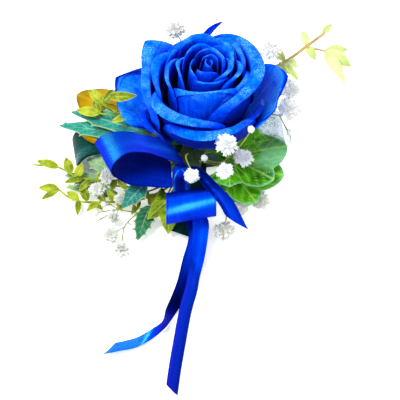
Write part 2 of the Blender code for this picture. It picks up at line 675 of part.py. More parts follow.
def build_sprigs(light, pale):
    """The light green sprigs."""
    up = (0.0, -0.5, 1.0)
    sprig("sprig_upper_left",
          [dock(-4.5, 150.0) + [(-5.0, -3.6, 33.0), (-16.0, -6.0, 36.4), (-25.5, -7.0, 38.0), (-37.0, 2.5, 35.6),
                                (-44.0, 12.5, 34.0)],
           [(-25.5, -7.0, 38.0), (-35.0, -4.0, 36.2), (-42.0, -1.0, 34.5)],
           [(-25.5, -7.0, 38.0), (-28.0, -4.6, 42.0), (-36.5, -7.0, 49.0), (-33.5, -10.8, 58.2)]],
          [((-37.5, 3.5, 34.5), (-45.0, 14.5, 34.0), 5.0, up),
           ((-37.5, 3.5, 34.5), (-33.0, 13.0, 36.0), 4.0, up),
           ((-39.5, -2.0, 34.5), (-51.0, 1.5, 33.0), 5.0, up),
           ((-39.5, -2.0, 34.5), (-42.5, 6.5, 34.0), 4.0, up),
           ((-25.5, -7.0, 38.0), (-25.0, -2.0, 42.0), 4.0, (1.0, -1.0, 0.3)),
           ((-25.5, -7.0, 38.0), (-33.5, -9.5, 37.0), 3.6, up),
           ((-34.0, -10.0, 57.2), (-20.5, -13.5, 61.5), 5.0, (0.0, -1.0, 0.8))], light)
    sprig("sprig_left_upper",
          [dock(-21.0, 200.0) + [(-9.0, -22.0, 15.0), (-24.0, -23.5, 9.8), (-40.0, -24.5, 9.8),
                                 (-52.0, -22.5, 11.0), (-60.0, -17.5, 11.5), (-73.0, -16.0, 12.0)]],
          [((-60.0, -17.5, 11.5), (-71.0, -14.0, 12.5), 4.4, up),
           ((-54.0, -21.5, 11.2), (-56.5, -14.0, 15.0), 5.0, up),
           ((-51.0, -23.0, 11.0), (-48.0, -19.0, 16.5), 4.6, up),
           ((-48.0, -23.5, 10.6), (-57.0, -27.0, 11.0), 3.6, up)], light)
    sprig("sprig_left_lower",
          [dock(-27.6, 226.0) + [(-6.0, -30.0, 10.5), (-20.0, -32.0, 3.6), (-38.0, -33.0, 3.0), (-52.0, -32.5, 4.0),
                                 (-61.0, -26.0, 6.0)]],
          [((-60.0, -27.0, 6.0), (-70.0, -27.0, 7.0), 4.8, up),
           ((-60.0, -27.0, 6.0), (-68.5, -33.0, 5.0), 3.4, up),
           ((-50.0, -32.5, 4.0), (-56.0, -29.0, 6.5), 4.4, up),
           ((-45.5, -32.5, 3.6), (-49.0, -27.5, 8.5), 4.2, up),
           ((-50.0, -32.8, 4.0), (-50.5, -41.0, 2.2), 3.2, up)], light)
    sprig("sprig_upper_right",
          [dock(10.8, 60.0, -0.1) + [(17.5, 20.0, 31.0), (27.0, 24.5, 35.0), (43.0, 22.5, 39.5), (54.0, 26.0, 43.0),
                               (63.0, 32.5, 45.5), (73.0, 40.0, 48.0)],
           [(63.0, 32.5, 45.5), (69.0, 31.0, 46.0), (75.0, 29.0, 46.0)]],
          [((72.0, 39.5, 48.0), (76.5, 45.0, 49.0), 3.4, up),
           ((64.0, 33.5, 45.5), (62.0, 42.0, 47.0), 4.4, up),
           ((64.0, 33.5, 45.5), (68.5, 25.0, 44.0), 4.4, up),
           ((54.0, 26.0, 43.0), (59.5, 22.5, 42.0), 4.6, up),
           ((53.0, 25.5, 43.0), (46.0, 34.5, 45.0), 4.4, up),
           ((52.0, 25.0, 42.5), (60.5, 14.0, 40.0), 4.0, up),
           ((73.0, 29.5, 46.0), (86.0, 22.0, 43.0), 7.0, up),
           ((73.0, 29.5, 46.0), (83.0, 12.0, 42.0), 6.0, up),
           ((73.0, 29.5, 46.0), (84.5, 31.5, 45.0), 5.0, up)], pale)


def build_sprays(white):
    """The sprays of baby's breath."""
    spray("babys_breath_back",
          [dock(12.0, 100.0) + [(9.0, 26.0, 36.0), (2.0, 30.5, 50.0), (-2.0, 29.5, 62.0)]],
          [((-2.0, 29.5, 62.5), 4.0)], [], white)
    spray("babys_breath_right",
          [dock(4.0, 20.0) + [(30.0, 3.0, 30.0), (42.0, -1.0, 34.0), (50.0, -5.0, 37.0), (55.0, -6.5, 41.5)],
           [(42.0, -1.0, 34.0), (50.0, 8.0, 38.0), (52.0, 16.0, 47.0), (46.0, 22.5, 54.0)],
           [(50.0, -5.0, 37.0), (54.0, -1.0, 42.0), (55.5, 3.0, 45.0)],
           [(50.0, -5.0, 37.0), (53.0, -12.0, 36.0), (55.0, -15.5, 36.0)],
           [(53.0, -12.0, 36.0), (56.0, -19.0, 34.0)]],
          [((45.5, 22.5, 55.0), 4.2), ((55.0, -7.0, 42.5), 3.8), ((56.5, 3.5, 46.0), 4.2)],
          [((55.0, -15.5, 36.0), 1.6), ((56.3, -19.5, 34.0), 1.6)], white)
    spray("babys_breath_front",
          [dock(-27.0, 35.0) + [(11.0, -30.0, 33.5), (19.0, -35.0, 36.0), (24.0, -40.5, 46.0), (23.5, -43.5, 58.0)],
           [(19.0, -35.0, 36.0), (26.0, -37.0, 35.5), (31.5, -34.5, 37.0)],
           [(24.0, -40.5, 46.0), (31.0, -37.5, 53.0), (35.5, -34.0, 59.0)],
           [(19.0, -35.0, 36.0), (22.8, -41.0, 42.5), (22.6, -48.0, 45.0)],
           [(11.0, -30.0, 33.5), (12.5, -36.0, 40.5)]],
          [((23.5, -44.0, 59.0), 4.6), ((32.0, -34.0, 37.5), 4.0), ((22.6, -49.0, 45.4), 3.6)],
          [((35.5, -33.8, 59.5), 1.7), ((12.6, -36.4, 41.0), 1.6)], white)
    spray("babys_breath_knot",
          [dock(-28.2, 100.0, -0.1) + [(4.5, -32.0, 39.0), (3.5, -38.5, 44.0), (6.5, -48.0, 44.0)]],
          [((6.5, -49.5, 42.5), 3.8)], [], white)
    spray("babys_breath_right_low",
          [dock(-28.0, -50.0) + [(14.0, -34.0, 14.0), (23.0, -42.0, 11.0), (31.0, -42.5, 10.5), (40.8, -39.3, 12.2)],
           [(23.0, -42.0, 11.0), (23.5, -48.0, 9.0), (22.5, -54.5, 8.5)]],
          [((40.8, -39.3, 12.4), 4.1), ((31.0, -43.2, 10.4), 3.2), ((22.5, -55.0, 8.0), 4.2)], [], white)
    spray("babys_breath_left_low",
          [dock(-30.2, 228.0, -0.2) + [(-5.5, -34.0, 11.0), (-11.0, -37.5, 5.0), (-20.0, -41.0, 4.2), (-27.0, -50.0, 4.2),
                                 (-28.0, -65.0, 4.4)],
           [(-20.0, -41.0, 4.2), (-30.0, -38.5, 4.4), (-37.0, -34.5, 6.5), (-41.0, -31.0, 9.0)],
           [(-30.0, -38.5, 4.4), (-41.0, -42.0, 5.5)],
           [(-27.0, -50.0, 4.2), (-34.0, -55.5, 4.6)],
           [(-30.0, -38.5, 4.4), (-31.8, -44.4, 5.2)],
           [(-37.0, -34.5, 6.5), (-38.5, -32.5, 11.0), (-36.8, -28.0, 15.0)],
           [(-30.0, -38.5, 4.4), (-29.4, -36.0, 8.0)]],
          [((-41.0, -30.5, 9.4), 3.6), ((-34.0, -55.4, 5.0), 3.9), ((-28.0, -65.4, 4.6), 3.6),
           ((-31.8, -44.6, 5.4), 3.0), ((-36.8, -27.0, 15.6), 3.6), ((-29.4, -35.6, 8.4), 2.8)],
          [((-41.2, -42.0, 5.6), 1.6)], white)


def main():
    """Builds the corsage."""
    clear_scene()
    green_satin = finish("green_satin", (0.01, 0.09, 0.06), 0.35)
    tape = finish("floral_tape", (0.05, 0.16, 0.04), 0.8)
    calyx = finish("calyx_green", (0.02, 0.12, 0.03), 0.6)
    petals = finish("rose_petal", (0.0, 0.06, 0.8), 0.55)
    blue_satin = finish("blue_satin", (0.0, 0.05, 0.75), 0.3)
    teal = finish("teal_leaf", (0.02, 0.32, 0.25), 0.5)
    gold = finish("golden_leaf", (0.45, 0.28, 0.01), 0.5)
    pale = finish("pale_leaf", (0.3, 0.55, 0.35), 0.55)
    green = finish("green_leaf", (0.02, 0.22, 0.04), 0.5)
    ivy = finish("ivy_green", (0.06, 0.28, 0.01), 0.45)
    light = finish("light_sprig", (0.4, 0.55, 0.03), 0.5)
    pale_sprig = finish("pale_sprig", (0.5, 0.6, 0.2), 0.5)
    white = finish("babys_breath", (0.85, 0.87, 0.88), 0.7)
    wristband(green_satin)
    wristband_tie_end(green_satin)
    stem_bundle(tape)
    rose_calyx(calyx)
    rose_bloom(petals)
    build_bow(blue_satin)
    build_leaves(teal, gold, pale, green, ivy)
    build_sprigs(light, pale_sprig)
    build_sprays(white)


main()
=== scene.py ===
"""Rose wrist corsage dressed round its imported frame: petals, ribbons, leaves and flowers."""

import logging
import math
import random
from dataclasses import dataclass
from enum import Enum
from typing import Callable, Optional, Sequence

import bpy
from mathutils import Matrix, Vector


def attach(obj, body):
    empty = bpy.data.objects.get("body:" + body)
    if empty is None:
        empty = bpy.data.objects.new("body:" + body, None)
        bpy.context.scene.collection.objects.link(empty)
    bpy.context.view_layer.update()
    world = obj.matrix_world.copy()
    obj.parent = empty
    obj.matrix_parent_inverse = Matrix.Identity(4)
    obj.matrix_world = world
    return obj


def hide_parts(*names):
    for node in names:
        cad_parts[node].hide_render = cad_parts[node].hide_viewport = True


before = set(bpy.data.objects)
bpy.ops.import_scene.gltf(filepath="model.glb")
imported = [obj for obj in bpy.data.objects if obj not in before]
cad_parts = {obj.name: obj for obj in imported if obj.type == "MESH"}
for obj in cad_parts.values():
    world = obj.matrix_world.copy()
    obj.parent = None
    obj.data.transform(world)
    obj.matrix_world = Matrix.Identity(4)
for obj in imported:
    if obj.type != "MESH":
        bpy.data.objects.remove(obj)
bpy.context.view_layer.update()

LOG = logging.getLogger("corsage")
MM = 0.001
SEED = 23
BODY = "root"
SMOOTH_DEG = 50.0
CREST = 5.0 / 7.0
BUNDLE_BACK = Vector((14.0, 16.0, 24.65))
BUNDLE_FRONT = Vector((3.8, -34.0, 24.65))
BUNDLE_HALF_WIDTH = 6.0
BUNDLE_HALF_HEIGHT = 4.3
SEAT_GAP = 0.3
SPRIG_UP = (0.0, -0.5, 1.0)
LOBES = ((0.0, 1.0), (45.0, 0.84), (-45.0, 0.84), (105.0, 0.56), (-105.0, 0.56))

Item = bpy.types.Object
Finish = bpy.types.Material
Socket = bpy.types.NodeSocket
Sockets = dict[str, Socket]
Input = Socket | float | tuple
Point = tuple[float, float, float]
Colour = tuple[float, float, float]
# Both take the shares across and along a piece, each from 0 to 1
Place = Callable[[float, float], Vector]
Value = Callable[[float, float], float]


class Shade(Enum):
    """How much light a spray's flowers catch."""

    BRIGHT = "bright"
    SOFT = "soft"
    DIM = "dim"


class Held(Enum):
    """How a length of ribbon is held."""

    FOLDED = "folded"
    HUNG = "hung"
    STRETCHED = "stretched"


# Shared shaping tools


def deselect() -> None:
    """Clears the selection, which loading the frame leaves full."""
    bpy.ops.object.select_all(action="DESELECT")


def focus(item: Item) -> None:
    """Selects one object and makes it active.

    Args:
        item: the object to work on.
    """
    deselect()
    item.select_set(True)
    bpy.context.view_layer.objects.active = item


def vectors(points: Sequence[Point]) -> list[Vector]:
    """The points as vectors."""
    return [Vector(point) for point in points]


def centred(across: float) -> float:
    """The share across as a value from -1 to 1."""
    return 2.0 * across - 1.0


def even(value: float) -> Value:
    """A mask that is the same all over."""
    return lambda across, t: value


def hump(value: float, middle: float, width: float) -> float:
    """A smooth hump 1 high at middle."""
    return math.exp(-((value - middle) / width) ** 2)


def along(points: Sequence[Vector], t: float) -> Vector:
    """The place at t on the smooth curve through the points.

    Args:
        points: the places that the curve passes.
        t: how far along it, from 0 to 1.

    Returns:
        The place, in the points' own unit.
    """
    spans = len(points) - 1
    place = min(max(t, 0.0) * spans, spans - 1e-6)
    i = int(place)
    f = place - i
    before = points[max(i - 1, 0)]
    start = points[i]
    end = points[i + 1]
    after = points[min(i + 2, spans)]
    linear = (end - before) * f
    square = (2 * before - 5 * start + 4 * end - after) * f * f
    cube = (3 * start - before - 3 * end + after) * f**3
    return start + 0.5 * (linear + square + cube)


def bent_grid(name: str, columns: int, rows: int, place: Place, masks: dict[str, Value]) -> Item:
    """Adds a grid and bends it to a surface.

    Args:
        name: the object's name.
        columns: faces across.
        rows: faces along.
        place: gives the place in millimetres from the shares across and along, each from 0 to 1.
        masks: named values, from the same two shares, that the finish reads.

    Returns:
        The bent grid, whose own map keeps the two shares.
    """
    deselect()
    bpy.ops.mesh.primitive_grid_add(x_subdivisions=columns, y_subdivisions=rows, size=1.0)
    item = bpy.context.active_object
    item.name = name
    mesh = item.data
    shares = [(vertex.co.x + 0.5, vertex.co.y + 0.5) for vertex in mesh.vertices]
    for mask, value in masks.items():
        layer = mesh.attributes.new(mask, "FLOAT", "POINT")
        for i, (across, up) in enumerate(shares):
            layer.data[i].value = value(across, up)
    for vertex, (across, up) in zip(mesh.vertices, shares):
        vertex.co = place(across, up) * MM
    return item


def thicken(item: Item, thickness: float, weld: float = 0.02) -> Item:
    """Merges the points that meet at a tip and gives a bent grid its wall.

    The reverse takes the object's last finish.

    Args:
        item: the bent grid.
        thickness: the wall in millimetres, half to each side.
        weld: how near two points are merged, in millimetres.

    Returns:
        The same object.
    """
    focus(item)
    bpy.ops.object.mode_set(mode="EDIT")
    bpy.ops.mesh.select_all(action="SELECT")
    bpy.ops.mesh.remove_doubles(threshold=weld * MM)
    bpy.ops.object.mode_set(mode="OBJECT")
    wall = item.modifiers.new("wall", "SOLIDIFY")
    wall.thickness = thickness * MM
    wall.offset = 0.0
    wall.material_offset = max(len(item.data.materials) - 1, 0)
    bpy.ops.object.modifier_apply(modifier=wall.name)
    bpy.ops.object.shade_smooth_by_angle(angle=math.radians(SMOOTH_DEG))
    return item


def stem(name: str, points: Sequence[Point], radii: tuple[float, float], finish: Finish,
         steps: int = 26, sides: int = 3) -> Item:
    """A round stem through the points.

    Args:
        name: the object's name.
        points: the places it passes, in millimetres.
        radii: its radius at the start and at the end.
        finish: its material.
        steps: stretches along it.
        sides: roundness of its section.

    Returns:
        The stem as a mesh.
    """
    deselect()
    bpy.ops.curve.primitive_nurbs_path_add()
    item = bpy.context.active_object
    item.name = name
    data = item.data
    data.splines.clear()
    data.bevel_depth = MM
    data.bevel_resolution = sides
    data.use_fill_caps = True
    line = data.splines.new("POLY")
    line.points.add(steps)
    route = vectors(points)
    for i in range(steps + 1):
        place = along(route, i / steps) * MM
        line.points[i].co = (*place, 1.0)
        line.points[i].radius = radii[0] + (radii[1] - radii[0]) * i / steps
    focus(item)
    bpy.ops.object.convert(target="MESH")
    item = bpy.context.active_object
    item.data.materials.clear()
    item.data.materials.append(finish)
    bpy.ops.object.shade_smooth()
    return item


def copy_of(item: Item, name: str, turn: Matrix) -> Item:
    """A copy with its own mesh, moved by turn.

    Args:
        item: the object to copy.
        name: the copy's name.
        turn: where the copy goes.

    Returns:
        The copy, at the origin and with its place in its mesh.
    """
    mesh = item.data.copy()
    mesh.transform(turn)
    made = bpy.data.objects.new(name, mesh)
    bpy.context.scene.collection.objects.link(made)
    return made


def join(name: str, items: Sequence[Item]) -> Item:
    """Joins objects to one.

    Args:
        name: the joined object's name.
        items: the objects, of which the first stays.

    Returns:
        The joined object.
    """
    deselect()
    for item in items:
        item.select_set(True)
    bpy.context.view_layer.objects.active = items[0]
    if len(items) > 1:
        bpy.ops.object.join()
    whole = bpy.context.active_object
    whole.name = name
    whole.data.name = name
    return whole


def dress(item: Item, *finishes: Finish) -> Item:
    """Puts finishes in an object's slots.

    Args:
        item: the object.
        finishes: its finish, or one for each side.

    Returns:
        The same object.
    """
    item.data.materials.clear()
    for finish in finishes:
        item.data.materials.append(finish)
    return item


def seat(piece: Item, node: str) -> Item:
    """Lets a piece stand for a node of the frame and ride on its body.

    Args:
        piece: the finished piece.
        node: the node that it replaces.

    Returns:
        The piece.
    """
    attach(piece, BODY)
    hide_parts(node)
    LOG.info("%s stands for %s with %d faces", piece.name, node, len(piece.data.polygons))
    return piece


# Material building


class Board:
    """The node board of a material or of a node group."""

    def __init__(self, tree: bpy.types.NodeTree) -> None:
        """Keeps the tree."""
        self.tree = tree

    def add(self, kind: str, settings: Optional[dict] = None, **values: Input) -> bpy.types.Node:
        """Adds a node.

        Args:
            kind: the node's type without its common prefix.
            settings: properties of the node.
            values: input values or sockets by name, with _ for a space, or in0, in1 by place.

        Returns:
            The node.
        """
        node = self.tree.nodes.new("ShaderNode" + kind)
        for key, value in (settings or {}).items():
            setattr(node, key, value)
        for key, value in values.items():
            by_place = key.startswith("in") and key[2:].isdigit()
            socket = node.inputs[int(key[2:]) if by_place else key.replace("_", " ")]
            if isinstance(value, Socket):
                self.tree.links.new(value, socket)
            else:
                socket.default_value = value
        return node

    def math(self, kind: str, a: Input, b: Input = 0.0, c: Input = 0.0) -> Socket:
        """A math node's value."""
        return self.add("Math", {"operation": kind}, in0=a, in1=b, in2=c).outputs[0]

    def times(self, a: Input, b: Input) -> Socket:
        """The product of two values."""
        return self.math("MULTIPLY", a, b)

    def plus(self, base: Input, share: float, value: Input) -> Socket:
        """A base with a share of a value added."""
        return self.math("MULTIPLY_ADD", value, share, base)

    def sway(self, base: Input, share: float, value: Input) -> Socket:
        """A base moved up and down by a value that swings round 0.5."""
        return self.plus(base, share, self.math("SUBTRACT", value, 0.5))

    def mix(self, share: Input, a: Input, b: Colour) -> Socket:
        """A mixed colour, a at share 0 and b at share 1."""
        one = a if isinstance(a, Socket) else (*a, 1.0)
        return self.add("Mix", {"data_type": "RGBA"}, in0=share, in6=one, in7=(*b, 1.0)).outputs[2]

    def ramp(self, value: Socket, stops: dict[float, Colour]) -> Socket:
        """A colour looked up along stops.

        Args:
            value: where to look.
            stops: the colours by their places from 0 to 1.

        Returns:
            The colour.
        """
        node = self.add("ValToRGB", in0=value)
        band = node.color_ramp
        while len(band.elements) < len(stops):
            band.elements.new(0.5)
        for element, (place, colour) in zip(band.elements, stops.items()):
            element.position = place
            element.color = (*colour, 1.0)
        return node.outputs[0]

    def spread(self, value: Input, low: float, high: float, to_low: float = 0.0,
               to_high: float = 1.0) -> Socket:
        """A value stretched from one range to another and held inside it."""
        node = self.add("MapRange", in0=value, in1=low, in2=high, in3=to_low, in4=to_high)
        return node.outputs[0]

    def mask(self, name: str) -> Socket:
        """A value that the piece keeps at its points."""
        return self.add("Attribute", {"attribute_name": name}).outputs["Fac"]

    def noise(self, vector: Socket, scale: Input, detail: float = 3.0,
              rough: float = 0.6) -> Socket:
        """Soft noise from 0 to 1."""
        node = self.add("TexNoise", Vector=vector, Scale=scale, Detail=detail, Roughness=rough)
        return node.outputs[0]

    def object_place(self) -> Socket:
        """The place on the piece in metres."""
        return self.add("TexCoord").outputs["Object"]

    def own_map(self, across: float = 1.0, up: float = 1.0) -> Socket:
        """The piece's own map, stretched across and along."""
        flat = self.add("TexCoord").outputs["UV"]
        return self.add("Mapping", Vector=flat, Scale=(across, up, 1.0)).outputs[0]

    def grain(self, broad: float, small: float) -> bpy.types.bpy_prop_collection:
        """Mottling at two sizes, the outputs Blotch and Grain."""
        return self.add("Group", {"node_tree": fine_grain()}, Broad=broad, Small=small).outputs

    def finish(self, colour: Socket, rough: Socket, relief: tuple[Socket, float, float],
               **constants: Input) -> None:
        """Joins a finish to the material's shader.

        Args:
            colour: the colour over the surface.
            rough: the roughness over the surface.
            relief: the height, how strongly it shows and its depth in metres.
            constants: values for the shader's other inputs, with _ for a space.
        """
        height, strength, depth = relief
        bump = self.add("Bump", Height=height, Strength=strength, Distance=depth).outputs[0]
        shader = self.tree.nodes["Principled BSDF"]
        for name, socket in (("Base Color", colour), ("Roughness", rough), ("Normal", bump)):
            self.tree.links.new(socket, shader.inputs[name])
        for name, value in constants.items():
            shader.inputs[name.replace("_", " ")].default_value = value


def group(name: str, inputs: dict[str, float], outputs: Sequence[str],
          fill: Callable[[Board, Sockets], Sockets]) -> bpy.types.NodeTree:
    """Builds a shared node group once.

    Args:
        name: the group's name.
        inputs: its value inputs and their defaults.
        outputs: its value outputs.
        fill: wires the board and gives the sockets for the outputs.

    Returns:
        The group.
    """
    if name in bpy.data.node_groups:
        return bpy.data.node_groups[name]
    tree = bpy.data.node_groups.new(name, "ShaderNodeTree")
    for label, value in inputs.items():
        entry = tree.interface.new_socket(label, in_out="INPUT", socket_type="NodeSocketFloat")
        entry.default_value = value
    for label in outputs:
        tree.interface.new_socket(label, in_out="OUTPUT", socket_type="NodeSocketFloat")
    start = tree.nodes.new("NodeGroupInput")
    end = tree.nodes.new("NodeGroupOutput")
    given = {label: start.outputs[label] for label in inputs}
    for label, socket in fill(Board(tree), given).items():
        tree.links.new(socket, end.inputs[label])
    return tree


def fine_grain() -> bpy.types.NodeTree:
    """Mottling at two sizes, over any surface, for plants and tape.

    Returns:
        The shared group.
    """

    def fill(board: Board, given: Sockets) -> Sockets:
        """Wires the mottling.

        Args:
            board: the group's board.
            given: its input sockets.

        Returns:
            Its output sockets.
        """
        place = board.object_place()
        broad = board.add("TexNoise", Vector=place, Scale=given["Broad"], Detail=3.0).outputs[0]
        small = board.add("TexNoise", Vector=place, Scale=given["Small"], Detail=2.0).outputs[0]
        return {"Blotch": board.spread(broad, 0.3, 0.7), "Grain": board.spread(small, 0.3, 0.7)}

    return group("fine_grain", {"Broad": 90.0, "Small": 1500.0}, ["Blotch", "Grain"], fill)


def satin_weave_and_sheen() -> bpy.types.NodeTree:
    """Fine weft lines and the firm selvedge of satin ribbon, with streaks of painted sheen, from
    the ribbon's own map.

    Returns:
        The shared group.
    """

    def fill(board: Board, given: Sockets) -> Sockets:
        """Wires the weave.

        Args:
            board: the group's board.
            given: its input sockets.

        Returns:
            Its output sockets.
        """
        parts = board.add("SeparateXYZ", in0=board.add("TexCoord").outputs["UV"])
        lines = board.math("SINE", board.times(parts.outputs[1], given["Threads"]))
        away = board.math("ABSOLUTE", board.math("SUBTRACT", parts.outputs[0], 0.5))
        edge = board.spread(away, 0.455, 0.475)
        return {
            "Thread": board.spread(lines, -1.0, 1.0),
            "Selvedge": edge,
            "Stitch": board.times(edge, board.spread(lines, -0.4, 0.4)),
            # Streaks of painted sheen along the ribbon
            "SheenStreak": board.noise(board.own_map(26.0, 5.0), 1.0, 4.0),
        }

    outputs = ["Thread", "Selvedge", "Stitch", "SheenStreak"]
    return group("satin_weave_and_sheen", {"Threads": 600.0}, outputs, fill)


def blank_material(name: str) -> tuple[Finish, Board]:
    """A fresh material and its board.

    Args:
        name: the material's name.

    Returns:
        Both.
    """
    material = bpy.data.materials.new(name)
    material.use_nodes = True
    return material, Board(material.node_tree)


@dataclass(frozen=True)
class PetalFinish:
    """The dyed rose petal: dark at the foot with painted shade, bright and grainy on the rolled rim
    with painted light.
    """

    name: str
    # From foot to pale: the dye's darker base and painted shade low in the petal and between
    # petals, up to painted light on the rolled rim
    foot: Colour = (0.0, 0.008, 0.2)
    deep: Colour = (0.0, 0.016, 0.38)
    middle: Colour = (0.0, 0.036, 0.7)
    rim: Colour = (0.0, 0.12, 1.0)
    pale: Colour = (0.01, 0.27, 1.0)
    # bloom is painted highlight specks on the lit rim
    bloom: Colour = (0.14, 0.62, 1.0)
    sheen: Colour = (0.1, 0.4, 1.0)
    rough: float = 0.5

    def build(self) -> Finish:
        """Builds the material.

        Returns:
            The petal material, which reads the masks rise, painted shade, and tone, partly painted
            light and shade, and the petal's own map.
        """
        material, board = blank_material(self.name)
        # rise is painted shade, dark low down and between petals
        rise = board.mask("rise")
        fan = board.noise(board.own_map(46.0, 5.0), 1.0, 4.0, 0.65)
        mottle = board.noise(board.object_place(), 330.0, 5.0, 0.75)
        grain = board.noise(board.object_place(), 1500.0, 3.0, 0.8)
        uneven = board.sway(board.sway(board.sway(rise, 0.9, mottle), 0.6, fan), 0.22, grain)
        uneven = board.times(board.math("ADD", uneven, board.mask("tone")), 0.77)
        base = board.ramp(uneven, {
            0.04: self.foot, 0.36: self.deep, 0.6: self.middle, 0.84: self.rim, 1.0: self.pale})
        # Painted highlight: grainy specks of the bloom colour on the rim
        dash = board.spread(board.noise(board.own_map(70.0, 130.0), 1.0, 2.0, 0.5), 0.54, 0.6)
        patch = board.noise(board.object_place(), 120.0, 2.0)
        speck = board.times(dash, board.spread(patch, 0.44, 0.58))
        speck = board.times(speck, board.spread(rise, 0.86, 0.98, 0.0, 0.95))
        height = board.plus(board.plus(board.times(mottle, 0.9), 0.8, fan), 0.25, grain)
        rough = board.spread(mottle, 0.3, 0.7, self.rough - 0.1, self.rough + 0.12)
        tint = (*self.sheen, 1.0)
        board.finish(
            board.mix(speck, base, self.bloom), rough, (height, 0.5, 0.0005), Sheen_Weight=0.02,
            Sheen_Roughness=0.4, Sheen_Tint=tint, Specular_IOR_Level=0.05, Specular_Tint=tint)
        return material


@dataclass(frozen=True)
class SatinFinish:
    """Woven satin ribbon with a firm selvedge, and a painted sheen and painted shade that lie in
    bands.
    """

    name: str
    # dark and shade are painted shade, light and gleam painted highlights, face the satin's own
    # colour
    dark: Colour
    shade: Colour
    face: Colour
    light: Colour
    gleam: Colour
    metal: float = 0.8
    rough: float = 0.34
    threads: float = 1700.0
    glance: float = 0.55

    def build(self) -> Finish:
        """Builds the material.

        Returns:
            The satin material, which reads the mask tone, painted light and shade, and the ribbon's
            own map.
        """
        material, board = blank_material(self.name)
        weave = board.add("Group", {"node_tree": satin_weave_and_sheen()}, Threads=self.threads).outputs
        # tone is painted light and shade, made by each ribbon
        tone = board.mask("tone")
        speck = board.noise(board.own_map(44.0, 150.0), 1.0, 3.0, 0.7)
        value = board.sway(board.plus(0.5, 0.5, tone), 0.34, weave["SheenStreak"])
        # Painted highlight grain, stronger where the tone is light
        grit = board.times(
            board.math("SUBTRACT", speck, 0.5), board.spread(tone, 0.0, 0.8, 0.3, 2.0))
        base = board.ramp(board.math("ADD", value, grit), {
            0.0: self.dark, 0.3: self.shade, 0.55: self.face, 0.78: self.light, 1.0: self.gleam})
        base = board.mix(board.times(weave["Thread"], 0.12), base, self.shade)
        colour = board.mix(board.times(weave["Selvedge"], 0.45), base, self.shade)
        soft = board.noise(board.object_place(), 120.0, 3.0)
        rough = board.spread(soft, 0.3, 0.7, self.rough - 0.05, self.rough + 0.08)
        height = board.plus(board.plus(weave["Thread"], 1.4, weave["Stitch"]), 3.0, soft)
        board.finish(
            colour, rough, (height, 0.35, 0.00012), Metallic=self.metal, Anisotropic=self.glance,
            Specular_IOR_Level=0.12, Specular_Tint=(*self.light, 1.0))
        return material


@dataclass(frozen=True)
class LeafFinish:
    """A leaf's blade with its veins, margin and mottling."""

    name: str
    blade: Colour
    second: Colour
    vein: Colour
    margin: Colour
    rough: float = 0.42
    vein_share: float = 0.7
    margin_share: float = 0.6
    silver: float = 0.0
    blotch: float = 110.0

    def build(self) -> Finish:
        """Builds the material.

        Returns:
            The leaf material, which reads the masks vein, margin and tone.
        """
        material, board = blank_material(self.name)
        grain = board.grain(self.blotch, 1300.0)
        share = board.math("ADD", grain["Blotch"], board.mask("tone"))
        base = board.mix(board.spread(share, 0.0, 1.0), self.blade, self.second)
        fibre = board.noise(board.own_map(34.0, 60.0), 1.0, 4.0, 0.7)
        base = board.mix(board.times(board.spread(fibre, 0.52, 0.72), self.silver), base, self.vein)
        base = board.mix(board.times(board.mask("margin"), self.margin_share), base, self.margin)
        colour = board.mix(board.times(board.mask("vein"), self.vein_share), base, self.vein)
        height = board.plus(board.times(fibre, 0.25), -1.0, board.mask("vein"))
        height = board.plus(height, 0.25, grain["Grain"])
        rough = board.spread(grain["Grain"], 0.0, 1.0, self.rough - 0.08, self.rough + 0.1)
        board.finish(colour, rough, (height, 0.5, 0.0004), Specular_IOR_Level=0.16,
                     Specular_Tint=(*self.vein, 1.0))
        return material


@dataclass(frozen=True)
class GrainFinish:
    """Stem, tape, calyx or blossom: two mottled colours and a rough skin."""

    name: str
    light: Colour
    dark: Colour
    rough: float = 0.6
    broad: float = 220.0
    small: float = 2200.0
    relief: float = 0.0002
    glow: float = 0.0

    def build(self) -> Finish:
        """Builds the material.

        Returns:
            The mottled material.
        """
        material, board = blank_material(self.name)
        grain = board.grain(self.broad, self.small)
        colour = board.mix(grain["Blotch"], self.light, self.dark)
        height = board.plus(grain["Blotch"], 0.6, grain["Grain"])
        rough = board.spread(grain["Grain"], 0.0, 1.0, self.rough - 0.08, self.rough + 0.08)
        board.finish(colour, rough, (height, 0.5, self.relief), Emission_Color=(1.0, 1.0, 1.0, 1.0),
                     Emission_Strength=self.glow)
        return material


